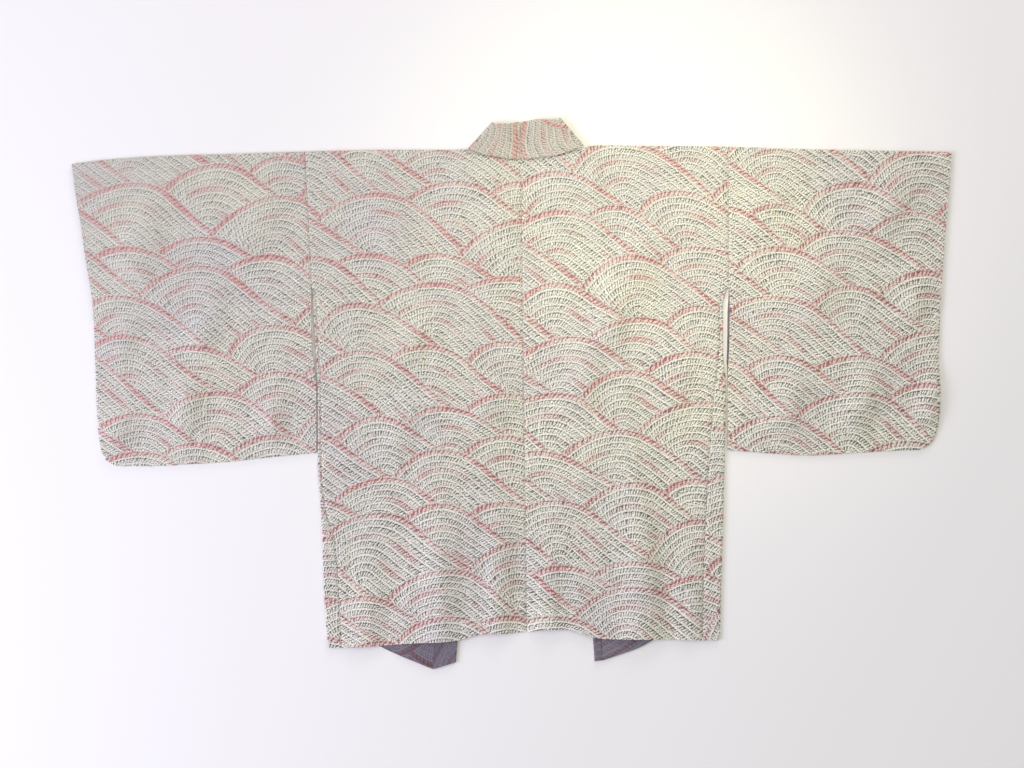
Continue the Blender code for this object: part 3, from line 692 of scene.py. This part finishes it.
class Cloth:
    """Middle surface of one piece, and the closed shell that is made from it."""

    def __init__(self, name):
        self.name = name
        self.shift, turn = CUTS[name]
        self.turn = math.radians(turn)
        self.points = np.zeros((0, 3))
        self.facings = np.zeros((0, 3))
        self.flats = np.zeros((0, 2))
        self.reliefs = np.zeros(0)
        self.quads = []

    def on_bolt(self, x, y):
        """Across and up on the bolt of flat places of the piece."""
        x, y = x + self.shift[0], y + self.shift[1]
        cosine, sine = math.cos(self.turn), math.sin(self.turn)
        return x * cosine - y * sine, x * sine + y * cosine

    def gathered(self, x, y):
        """Relief of the gathered rows at flat places of the piece."""
        x, y = self.on_bolt(x, y)
        share = rows_of(Numbers(np.stack((x, y, np.zeros_like(x)), -1)))[1]
        return (arch(share).values[..., 0] - 0.5) * ROW_RELIEF

    def lay(self, x, y, z, facing, flat=None, relief=0.0):
        """Adds a row or a woven grid of points and gives back their numbers."""
        x, y, z, relief = np.broadcast_arrays(x, y, z, relief)
        flat = np.stack((x, y) if flat is None else np.broadcast_arrays(*flat, x)[:2], -1)
        numbers = len(self.points) + np.arange(x.size).reshape(x.shape)
        self.points = np.concatenate((self.points, np.stack((x, y, z), -1).reshape(-1, 3)))
        self.facings = np.concatenate((self.facings, np.broadcast_to(facing, (*x.shape, 3)).reshape(-1, 3)))
        self.flats = np.concatenate((self.flats, flat.reshape(-1, 2)))
        self.reliefs = np.concatenate((self.reliefs, relief.reshape(-1)))
        if x.ndim > 1:
            self.weave(numbers)
        return numbers

    def normals(self, squares):
        """The way that each square faces, twice as long as its area."""
        a, b, c, d = (self.points[squares[:, place]] for place in range(4))
        return np.cross(c - a, d - b)

    def weave(self, numbers):
        """A square between each four neighbours, wound so that the right side is out."""
        squares = np.stack((numbers[:-1, :-1], numbers[:-1, 1:], numbers[1:, 1:], numbers[1:, :-1]), -1)
        squares = squares.reshape(-1, 4)
        wrong = (self.normals(squares) * self.facings[squares].sum(1)).sum(1) < 0
        squares[wrong] = squares[wrong, ::-1]
        self.quads.append(squares)

    def bend(self, upper, lower, outward, steps=6):
        """Half-round fold from one row of points to the row under it."""
        top, foot = self.points[upper], self.points[lower]
        middle, half_way = (top + foot) / 2, (top - foot) / 2
        outward = np.broadcast_to(outward, top.shape)
        rows = [upper]
        for step in range(1, steps):
            angle = math.pi * step / steps
            facing = np.array((0, 0, math.cos(angle))) + outward * math.sin(angle)
            spot = middle + half_way * math.cos(angle) + outward * half_way[:, 2:] * math.sin(angle)
            flat = self.flats[upper] + outward[:, :2] * angle * TURN
            rows.append(self.lay(*spot.T, facing, (flat[:, 0], flat[:, 1])))
        rows.append(lower)
        self.weave(np.array(rows))

    def area(self):
        """Area of the cloth in square metres, before its relief."""
        return float(np.linalg.norm(self.normals(np.concatenate(self.quads)), axis=1).sum() / 2 * MM * MM)

    def shell(self, right_side, wrong_side):
        """Closed shell: the right side with its relief, the wrong side, and a rim on every raw edge."""
        quads = np.concatenate(self.quads)
        count = len(self.points)
        right = self.points + self.facings * (WALL / 2 + self.reliefs)[:, None]
        sunk = np.minimum(self.reliefs + LEAST_CLOTH, 0)
        wrong = self.points + self.facings * (WALL / 2 - CLOTH + sunk)[:, None]
        wrong[:, 2] = np.maximum(wrong[:, 2], 0)
        sides = np.concatenate([quads[:, [place, (place + 1) % 4]] for place in range(4)])
        back = set((sides[:, 1] * count + sides[:, 0]).tolist())
        raw = np.array([code not in back for code in (sides[:, 0] * count + sides[:, 1]).tolist()])
        a, b = sides[raw].T
        rim = np.stack((b, a, a + count, b + count), -1)
        faces = np.concatenate((quads, quads[:, ::-1] + count, rim))
        mesh = bpy.data.meshes.new(self.name + "_silk")
        mesh.from_pydata(np.concatenate((right, wrong)) * MM, [], faces.tolist())
        flats = np.stack(self.on_bolt(*self.flats.T), -1) * MM
        flat_map = mesh.uv_layers.new(name=FLAT_MAP)
        flat_map.data.foreach_set("uv", flats[faces.ravel() % count].ravel())
        mesh.materials.append(right_side)
        mesh.materials.append(wrong_side)
        slots = np.zeros(len(faces), int)
        slots[len(quads):2 * len(quads)] = 1
        mesh.polygons.foreach_set("material_index", slots)
        mesh.shade_smooth()
        mesh.set_sharp_from_angle(angle=math.radians(SHARP_ANGLE))
        return placed(mesh.name, mesh)


# %% Spacing and relief
CELL = 2.6                        # size of a square of fine cloth
CROWD = (0.8, 2.0, 3.4, 4.8)      # distances of the first lines beside a seam
ROW_RELIEF = 0.3                  # how far a gathered row stands up
SEAM_DIP = 1.5                    # how far the cloth is drawn down at a seam
SEAM_REACH = 3.4                  # and how far from it
NECK_REACH = 1.8                  # the same beside the turned-down collar
LEAST_CLOTH = 0.5                 # dip from which the wrong side sinks with the right one


def shares(width, cell, crowded_start=False, crowded_end=False):
    """Shares of a width from 0 to 1 at even steps, crowded beside the seams."""
    start, end = CROWD[-1] * crowded_start, width - CROWD[-1] * crowded_end
    steps = max(1, round((end - start) / cell))
    near = [0.0, *CROWD[:-1]] * crowded_start
    far = [width - step for step in (0.0, *CROWD[:-1])][::-1] * crowded_end
    return np.array([*near, *np.linspace(start, end, steps + 1), *far]) / width


def seam_dip(distance, reach=SEAM_REACH):
    return -SEAM_DIP * (1 - ease(distance / reach))


def both(make):
    """The left and the right piece of a kind, with a line on the cloth that each takes."""
    made = [make(side) for side in HALVES]
    for cloth in made:
        print(cloth.name, "squares:", sum(len(quads) for quads in cloth.quads),
              "cloth in m2:", round(cloth.area(), 3))
    return made


print("lines in 100 mm of cloth:", len(shares(100, CELL, True, True)))

# %% [markdown]
# ## The two body lengths
#
# A kimono tailor never cuts a curve at the shoulder: one straight length of the bolt makes the back,
# folds over at the top and comes down again as the front. So each half is two grids joined by a
# half-round fold. The back's grid has two zones side by side, because only the outer one has a
# front below it; the inner one ends at the neck. Between the two collars the back sinks to the
# floor, and over the collar's hidden leg it climbs a layer, which makes the long soft steps.

# %% Layers of the body
def under_width(half, up):
    """How far the collar's hidden leg reaches past its seam, under the front."""
    top, foot = half["collar_seam"]
    return half["collar_under"] * np.clip((top[1] - up) / (top[1] - foot[1]), 0, 1)


def lift_lines(half, up):
    """Across of where the front leaves the floor and of where it is fully up, at a height."""
    full = on_line(half["collar_seam"], up) + half["outward"] * (under_width(half, up) + LIFT_MARGIN)
    return full + half["outward"] * LIFT_RUN, full


def front_level(half, x, y):
    """Layer of the front: 0 on the floor, 1 over the collar's hidden leg."""
    start, full = lift_lines(half, y)
    return ease((start - x) / (start - full))


def back_level(half, x, y):
    """Layer of the back: one above the front, sinking to the floor between the two collars."""
    edge = on_line(half["collar_fold"], y) - half["outward"] * COLLAR_MARGIN
    return 1 + front_level(half, x, y) - 2 * ease((edge - x) / (edge - centre_line(y)))


def neck_edge(half, x):
    """Height of the back's neck edge, a shallow curve between the shoulder and the centre."""
    shoulder_x, shoulder_y = half["collar_seam"][0]
    part = np.clip((x - shoulder_x) / (NECK_CENTRE[0] - shoulder_x), 0, 1)
    return shoulder_y + (NECK_CENTRE[1] - shoulder_y) * np.sin(part * math.pi / 2)


def wedge_width(half, up, front):
    """Width of the side wedge at a height, on the back or on the front."""
    on_back = follow(half["gusset"], up)
    return follow(half["gusset"], up, 2) - on_back if front else on_back


def body_edge(half, up, front):
    """Across of the panel's side edge: the armhole seam, then the wedge's seam."""
    inward = -half["outward"]
    wedge = follow(half["body_side"], up) + inward * (wedge_width(half, up, front) + SEAM)
    armhole = follow(half["armhole"], up) + inward * SEAM / 2
    return np.where(up > ARMHOLE_FOOT - ARMHOLE_STEP / 2, armhole, wedge)


def hem_of(half, front):
    return half["front_hem"] if front else BACK_HEM


def row_ends(half, front):
    """Heights of a panel's side edge: its top and its hem."""
    return (float(follow(TOP, body_edge(half, ARMHOLE_FOOT, front)) - ROLL),
            float(follow(hem_of(half, front), body_edge(half, -FAR, front))))


print("left back from fold to hem:", [round(end, 1) for end in row_ends(HALVES["left"], False)])

# %% Making a body length
PLACE_ROUNDS = 3                  # rounds in which a point's across and up settle together
SHOULDER_FADE = 12.0              # width below the shoulder fold in which the relief fades
PLAIN_ROWS = 30                   # rows of squares in the hidden part of a front
PLAIN_CELL = 3 * CELL             # size of its squares above the armhole's foot
FOLD_LENGTH = math.pi * TURN      # cloth in a half-round fold
PEEK_LENGTH = 60.0                # of the fronts, from their hem, that is finely woven


def panel_grid(half, front, across, heights):
    """Across and up of every point of a panel, from its side edge to its last column."""
    drop = ((heights[0] - heights) / (heights[0] - heights[-1]))[:, None]
    outer, inner = across
    y = np.repeat(heights[:, None], len(outer) + len(inner), axis=1)
    for _ in range(PLACE_ROUNDS):
        seam, centre = on_line(half["collar_seam"], y), centre_line(y) + half["outward"] * SEAM / 2
        edge = body_edge(half, y, front)
        x = np.concatenate((edge[:, :len(outer)] + (seam - edge)[:, :len(outer)] * outer,
                            seam[:, len(outer):] + (centre - seam)[:, len(outer):] * inner), axis=1)
        upper = follow(TOP, x) - ROLL
        upper[:, len(outer):] = neck_edge(half, x[:, len(outer):])
        y = upper + (follow(hem_of(half, front), x) - upper) * drop
        y[:, 0] = heights
    return x, y


def heights_of(half, front, lower):
    """Heights of a panel's rows, with a short one at the foot of the armhole."""
    top, hem = row_ends(half, front)
    above = top + (ARMHOLE_FOOT - top) * shares(top - ARMHOLE_FOOT, PLAIN_CELL if front else CELL, True)
    foot = ARMHOLE_FOOT - ARMHOLE_STEP
    return np.array([*above, *(foot + (hem - foot) * lower)])


def lay_front(cloth, x, y, layer):
    """A front, face down, which goes on from the back over the fold at the top."""
    flat_up = 2 * (follow(TOP, x) - ROLL) + FOLD_LENGTH - y
    return cloth.lay(x, y, level(layer), FACE_DOWN, (x, flat_up), under_dent(x, y))


def body(side):
    half = HALVES[side]
    cloth = Cloth(f"body_{side}")
    top, hem = row_ends(half, False)
    seam_x = half["collar_seam"][0][0]
    outer = shares(abs(half["armhole"][0][1] - seam_x), CELL, True)
    inner = shares(abs(seam_x - NECK_CENTRE[0]), CELL, False, True)[1:]

    x, y = panel_grid(half, False, (outer, inner), heights_of(half, False, shares(ARMHOLE_FOOT - hem, CELL)))
    to_seam = np.minimum(np.abs(x - x[:, :1]), np.abs(x - x[:, -1:]))
    to_neck = np.where(np.arange(x.shape[1]) >= len(outer), y[:1] - y, FAR)
    relief = cloth.gathered(x, y) * ease((top + ROLL - y) / SHOULDER_FADE)
    relief = relief + np.minimum(seam_dip(to_seam), seam_dip(to_neck - COLLAR_LAP, NECK_REACH))
    back = cloth.lay(x, y, level(back_level(half, x, y)) + top_rise(x, y), FACE_UP, relief=relief)

    peek = PEEK_LENGTH / (ARMHOLE_FOOT - hem)
    fine = 1 - peek + peek * shares(PEEK_LENGTH, CELL)[1:]
    lower = np.array([*np.linspace(0, 1 - peek, PLAIN_ROWS), *fine])
    x, y = panel_grid(half, True, (outer, inner[:0]), heights_of(half, True, lower))
    front = lay_front(cloth, x, y, front_level(half, x, y))
    cloth.bend(back[0, :len(outer)], front[0], (0, 1, 0))
    return cloth


bodies = both(body)

# %% [markdown]
# ## The sleeves
#
# A sleeve is a flat pocket: one length of cloth folded at the top, sewn along the bottom and up the
# outer edge as far as the hand's opening, and left open on the body's side below the armhole. The
# grid is a plain rectangle of shares, and three things bend it to the real outline: the tables of
# its edges, the drawn-in corner at the bottom, and a fold's width taken off where the edge is shut.

# %% Making a sleeve
SLEEVE_CELL = CELL + 0.3
SLEEVE_FADE = 10.0                # width beside a sleeve's folds in which its relief fades
TINY = 1e-6


def rounded(from_outer, from_hem, radius):
    """Distances from the two edges after the square corner is drawn in to a round one, and the
    way out of the corner as shares of the two."""
    reach = np.clip(np.stack((radius - from_outer, radius - from_hem)) / radius, TINY, None)
    corner = reach.min(axis=0) > TINY
    length = np.hypot(*reach)
    drawn = reach * reach.max(axis=0) / length
    outer = np.where(corner, radius * (1 - drawn[0]), from_outer)
    hem = np.where(corner, radius * (1 - drawn[1]), from_hem)
    return outer, hem, reach / length


def sleeve(side):
    half = HALVES[side]
    cloth = Cloth(f"sleeve_{side}")
    outward = half["outward"]
    outer_table, hem_table = half["sleeve_outer"], half["sleeve_hem"]
    radius = SLEEVE_CORNER - ROLL
    top_outer = float(follow(TOP, outward * FAR))
    cuff_foot = top_outer - CUFF_DROP
    width = abs(float(follow(outer_table, -FAR) - follow(half["sleeve_free"], -FAR)))
    depth = top_outer - float(follow(hem_table, outward * FAR))
    across = shares(width, SLEEVE_CELL, True)
    down = shares(depth, SLEEVE_CELL)[:, None]

    def layer(front):
        """Across and up of a layer's points, and the way out of the sleeve there."""
        y = np.repeat(top_outer - depth * down, len(across), axis=1)
        for _ in range(PLACE_ROUNDS):
            free = follow(half["sleeve_free"], y) - outward * follow(half["front_peek"], y) * front
            inner = np.where(y >= ARMHOLE_FOOT, follow(half["armhole"], y) + outward * SEAM / 2, free)
            outer = follow(outer_table, y) - outward * ROLL * ease((cuff_foot - y) / CUFF_EASE)
            x = inner + (outer - inner) * across
            upper, lower = follow(TOP, x) - ROLL, follow(hem_table, x) + ROLL
            y = upper + (lower - upper) * down
        from_outer, from_hem, way = rounded(np.abs(outer - x), y - lower, radius)
        ways = np.stack((outward * way[0], -way[1], np.zeros_like(x)), -1)
        return outer - outward * from_outer, lower + from_hem, ways

    x, y, ways = layer(False)
    edges = np.minimum(np.abs(x - x[:, -1:]), np.minimum(y[:1] - y, y - y[-1:]))
    sewn = np.where(y >= ARMHOLE_FOOT, np.abs(x - x[:, :1]), FAR)
    relief = cloth.gathered(x, y) * ease(edges / SLEEVE_FADE) + seam_dip(sewn)
    back = cloth.lay(x, y, level(1) + top_rise(x, y), FACE_UP, relief=relief)
    x, y, _ = layer(True)
    front = lay_front(cloth, x, y, 0)
    cloth.bend(back[0], front[0], (0, 1, 0))
    shut = np.flatnonzero(top_outer - depth * down[:, 0] < cuff_foot - CUFF_EASE)[:-1][::-1]
    rows = np.array([*[len(down) - 1] * len(across), *shut])
    columns = np.array([*range(len(across)), *[len(across) - 1] * len(shut)])
    cloth.bend(back[rows, columns], front[rows, columns], ways[rows, columns])
    return cloth


sleeves = both(sleeve)

# %% [markdown]
# ## The collar band
#
# The band is one long strip, folded lengthways and sewn round the neck and down both fronts. At the
# back it is turned down over its own seam, which is how it is worn, and at each shoulder it turns
# over into the front's band, so its layers swap places. Each station below is a cross-section like
# a hairpin: a leg at the seam, a half-round fold, and a leg that comes back over it. Sweeping the
# hairpin along the stations, with its up direction turning over at the shoulder, makes the band.
# Each half is cut from the bolt at a slant of its own, so the rows run down it as long streaks.

# %% Stations of the collar band
BAND_CELL = CELL + 0.4
MITRE_STEPS = 12


def unit(way):
    """A direction, or a row of them, at a length of 1."""
    return way / np.linalg.norm(way, axis=-1, keepdims=True)


def collar_stations(half):
    """Arrays over the band's cross-sections, from the centre back over the shoulder to the hem: seam
    point, fold point, way up through the layers, the seam leg's start and the other leg's end."""
    shoulder_seam, hem_seam = (np.array(point, float) for point in half["collar_seam"])
    shoulder_fold, hem_fold = (np.array(point, float) for point in half["collar_fold"])
    along = unit(shoulder_fold - shoulder_seam)
    out = np.array((along[1], -along[0])) * half["outward"]
    stack = MITRE_LEVEL * LAYER + WALL / 2
    mitre_seam, mitre_fold = shoulder_seam - out * stack, shoulder_fold - out * stack

    centre_x = centre_line(NECK_CENTRE[1]) + half["outward"] * SEAM / 2
    edge_x = on_line(half["collar_fold"], NECK_CENTRE[1]) - half["outward"] * COLLAR_MARGIN
    seam_x = centre_x + (edge_x - centre_x) * shares(abs(edge_x - centre_x), CELL, True)
    part = (centre_x - seam_x) / (centre_x - mitre_seam[0])
    fold_y = COLLAR_DIP_UP + (mitre_fold[1] - COLLAR_DIP_UP) * ease(part / COLLAR_DIP_REACH)
    neck_seam = np.stack((seam_x, neck_edge(half, seam_x)), -1)
    neck_fold = np.stack((centre_x + (mitre_fold[0] - centre_x) * part, fold_y), -1)
    neck_free = neck_seam - unit(neck_fold - neck_seam) * COLLAR_LAP
    neck_z = level(back_level(half, *neck_seam.T)) - TURN

    angles = np.linspace(0, math.pi, MITRE_STEPS + 1)
    turning = np.stack((out[0] * np.sin(angles), out[1] * np.sin(angles), np.cos(angles)), -1)
    down = shares(math.dist(mitre_seam, hem_seam), BAND_CELL)[1:, None]
    leg_seam = mitre_seam + (hem_seam - mitre_seam) * down
    leg_fold = mitre_fold + (hem_fold - mitre_fold) * down
    free_x = leg_seam[:, :1] + half["outward"] * half["collar_under"] * down
    free_y = mitre_seam[1] + (follow(half["front_hem"], free_x) + UNDER_SHORT - mitre_seam[1]) * down
    leg_free = np.concatenate((free_x, free_y), 1)

    def stations(neck, mitre, leg):
        return np.concatenate((neck, np.broadcast_to(mitre, (len(angles), *neck.shape[1:])), leg))

    turned_in = mitre_seam + unit(mitre_fold - mitre_seam) * MITRE_CLEAR
    middle = np.full(len(leg_seam), level(MITRE_LEVEL))
    return (stations(neck_seam, mitre_seam, leg_seam), stations(neck_fold, mitre_fold, leg_fold),
            np.concatenate((np.tile((0, 0, 1.0), (len(seam_x), 1)), turning,
                            np.tile((0, 0, -1.0), (len(leg_seam), 1)))),
            stations(np.full(len(seam_x), SEAM), MITRE_CLEAR, np.full(len(leg_seam), SEAM)),
            stations(neck_free, turned_in, leg_free), stations(neck_z, level(MITRE_LEVEL), middle))


print("stations of the left band:", len(collar_stations(HALVES["left"])[0]))

# %% Making half of the band
COLLAR_FOLD_STEPS = 8
COLLAR_FADE = 9.0                 # width beside the band's edges in which its relief fades
COLLAR_RELIEF = 0.7               # of the band, as a part of the body's


def run_of(points):
    """Length along a row of points, from the first to each of them."""
    return np.concatenate(([0], np.cumsum(np.linalg.norm(np.diff(points, axis=0), axis=1))))


def collar(side):
    half = HALVES[side]
    cloth = Cloth(f"collar_{side}")
    seam, fold, up, first, free, z = collar_stations(half)
    reach = fold - seam
    full = np.linalg.norm(reach, axis=1)
    across = np.concatenate((reach / full[:, None], np.zeros((len(seam), 1))), 1)[:, None]
    width = (full - ROLL)[:, None, None]
    base = np.concatenate((seam, z[:, None]), 1)[:, None]
    free = np.concatenate((free, z[:, None]), 1)[:, None]
    up = up[:, None]
    first = first[:, None, None]
    steps = shares(float(full.mean()), CELL)[None, :, None]
    angles = np.linspace(0, math.pi, COLLAR_FOLD_STEPS + 1)[None, :, None]

    near = base + across * (first + (width - first) * steps[:, :-1]) + up * TURN
    around = across * np.sin(angles) - up * np.cos(angles)
    turned = base + across * width
    bent = turned + up * LAYER + around * TURN
    far = turned + (free - turned) * steps[:, 1:] + up * (TURN + LAYER)
    grid = np.concatenate((near, bent, far), 1)
    facing = np.concatenate((np.broadcast_to(-up, near.shape), around, np.broadcast_to(up, far.shape)), 1)

    along = run_of(grid[:, len(steps[0]) // 2])[:, None]
    from_seam = run_of(grid[len(grid) // 2])
    flat_x, flat_y = np.broadcast_arrays(from_seam[None] * -half["outward"], -along)
    to_edge = np.minimum(from_seam, from_seam[-1] - from_seam)[None]
    relief = cloth.gathered(flat_x, flat_y) * ease(to_edge / COLLAR_FADE) * COLLAR_RELIEF
    cloth.lay(*np.moveaxis(grid, -1, 0), facing, (flat_x, flat_y), relief + seam_dip(along))
    return cloth


collars = both(collar)

# %% [markdown]
# ## The side wedges
#
# Between back and front runs a narrow wedge, folded round the side edge: a few millimetres at the
# armhole and a good six centimetres at the hem, about a third of it on the back. It is cut along
# the bolt like the rest, but pieced in at a slant, so its wave rows lie almost level.

# %% Making a wedge
WEDGE_TOP = ARMHOLE_FOOT - ARMHOLE_STEP
BACK_WIDTH, FRONT_WIDTH = 20.0, 38.0    # of a wedge, for the number of its squares
WEDGE_FADE = 4.0                  # width beside a wedge's fold in which its relief fades
WEDGE_RISE = 0.5                  # part of the folds' height that a wedge follows


def gusset(side):
    half = HALVES[side]
    cloth = Cloth(f"gusset_{side}")
    outward = half["outward"]
    layers = []
    for front in (False, True):
        hem = row_ends(half, front)[1]
        y = (WEDGE_TOP + (hem - WEDGE_TOP) * shares(WEDGE_TOP - hem, CELL))[:, None]
        side_x = follow(half["body_side"], y) - outward * ROLL
        steps = shares(FRONT_WIDTH, CELL + 1) if front else shares(BACK_WIDTH, CELL, False, True)
        x = side_x - outward * (wedge_width(half, y, front) - ROLL) * steps
        y = np.broadcast_to(y, x.shape)
        if front:
            flat = (2 * (side_x + outward * TURN) - x, y)
            layers.append(cloth.lay(x, y, level(0), FACE_DOWN, flat, under_dent(x, y)))
        else:
            relief = cloth.gathered(x, y) * ease(np.abs(x - side_x) / WEDGE_FADE)
            relief = relief + seam_dip(np.abs(x - x[:, -1:]))
            layers.append(cloth.lay(x, y, level(1) + top_rise(x, y) * WEDGE_RISE, FACE_UP, relief=relief))
    rows = min(len(layer) for layer in layers)
    cloth.bend(layers[0][:rows, 0], layers[1][:rows, 0], (outward, 0, 0))
    return cloth


gussets = both(gusset)

# %% [markdown]
# ## From cloth to pieces
#
# Each shell now takes its place: it rides on the jacket's one body and stands for its imported solid,
# which is hidden. The table below gives the rectangle that a tailor would cut each kind of piece
# from, and a shell's area is read from its own middle surface, so it leaves out what the relief adds.
# Here that area is read from the shell's own middle surface, so the test sees only what the relief
# adds, and the flat sizes have to be right by themselves. Where the band peeks out below the back's
# hem, its faces that show take the darker wrong-side silk: that darkness is painted shade, which
# stands in for the shadow that the back's raised hem casts on the band there.

# %% The eight pieces
BAND_SHADE_BELOW = -345.0             # below this the band's upward faces take the darker wrong-side silk, as painted shade under the back's hem
# Width and length of each kind of piece as it is cut, in metres
FLAT_SIZES = {"body": (0.33, 1.515), "sleeve": (0.35, 0.92), "collar": (0.11, 0.87), "gusset": (0.065, 0.535)}
for cloth in (*bodies, *sleeves, *collars, *gussets):
    name = cloth.name
    kind, side = name.split("_")
    flat = FLAT_SIZES[kind]
    piece = cloth.shell(band_silk if kind == "collar" else body_silk, lining_silk)
    # painted shade: the band's faces that show below the back's hem take the darker wrong-side silk
    if kind == "collar":
        for face in piece.data.polygons:
            if face.normal.z > 0 and face.center.y < BAND_SHADE_BELOW * MM:
                face.material_index = 1
    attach(piece, "root")
    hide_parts(name)
    min(cloth.area(), flat[0] * flat[1])
    print(piece.name, "triangles:", sum(len(face.vertices) - 2 for face in piece.data.polygons))

# %% [markdown]
# ## Floor, light and camera
#
# A flat jacket is best seen from straight above. Puckered silk only reads when some light rakes
# over it, so a cool window stands low at the left and another one behind the collar, under a wide
# warm ceiling that keeps the rest soft. A small lamp warms the upper right. The floor is plain and
# pale, and the camera looks straight down with a long lens.

# %% The floor
FLOOR_SIZE = 9.0
FLOOR_DROP = 0.0004               # below the cloth, so that the two never fight for a pixel
FLOOR_LOOK = {"Base Color": paint(248, 248, 248), "Roughness": 0.9}
floor_mesh = bmesh.new()
bmesh.ops.create_grid(floor_mesh, x_segments=1, y_segments=1, size=FLOOR_SIZE / 2)
floor_data = bpy.data.meshes.new("floor")
floor_mesh.to_mesh(floor_data)
floor_mesh.free()
floor_paint = bpy.data.materials.new("floor_paint")
floor_paint.use_nodes = True
for socket, value in FLOOR_LOOK.items():
    floor_paint.node_tree.nodes["Principled BSDF"].inputs[socket].default_value = value
floor_data.materials.append(floor_paint)
floor = placed("floor", floor_data)
floor.location.z = -FLOOR_DROP
print("floor:", FLOOR_SIZE, "m square")

# %% Lights
# name, place, aim, size, spread in degrees, power in watts, colour
LAMPS = (
    ("warm lamp", (0.34, 0.5, 1.0), (0.2, 0.27, 0.0), 0.4, 50, 0.42, (1.0, 0.98, 0.58)),
    ("window behind", (0.6, 2.4, 1.0), (0.0, 0.0, 0.0), 0.8, 180, 15, (1.0, 0.90, 0.96)),
    ("cool window", (-2.4, -0.6, 1.7), (0.0, 0.0, 0.0), 1.6, 180, 56, (0.77, 0.76, 1.0)),
    ("ceiling", (0.2, 0.4, 3.2), (0.0, 0.0, 0.0), 2.6, 180, 16.6, (1.0, 0.94, 0.81)),
)
ROOM_COLOUR = (1.0, 0.98, 0.915, 1.0)
ROOM_STRENGTH = 0.455
for name, place, aim, size, spread, power, colour in LAMPS:
    lamp = bpy.data.lights.new(name, "AREA")
    lamp.size = size
    lamp.spread = math.radians(spread)
    lamp.energy = power
    lamp.color = colour
    stand = placed(name, lamp)
    stand.location = place
    stand.rotation_euler = (Vector(aim) - stand.location).to_track_quat("-Z", "Y").to_euler()
room = bpy.data.worlds.new("room")
room.use_nodes = True
room.node_tree.nodes["Background"].inputs["Color"].default_value = ROOM_COLOUR
room.node_tree.nodes["Background"].inputs["Strength"].default_value = ROOM_STRENGTH
bpy.context.scene.world = room
bpy.context.scene.view_settings.view_transform = "Standard"
print(len(LAMPS), "lamps")

# %% Camera
VIEW_WIDTH = 1.536                # of the floor that the view takes in, in metres
VIEW_CENTRE = (0.00075, 0.01425)
LENS, SENSOR = 85.0, 36.0         # in millimetres
lens = bpy.data.cameras.new("camera")
lens.lens = LENS
lens.sensor_width = SENSOR
camera = placed("camera", lens)
camera.location = (*VIEW_CENTRE, VIEW_WIDTH * LENS / SENSOR)
bpy.context.scene.camera = camera
print("camera height:", round(camera.location.z, 3), "m")
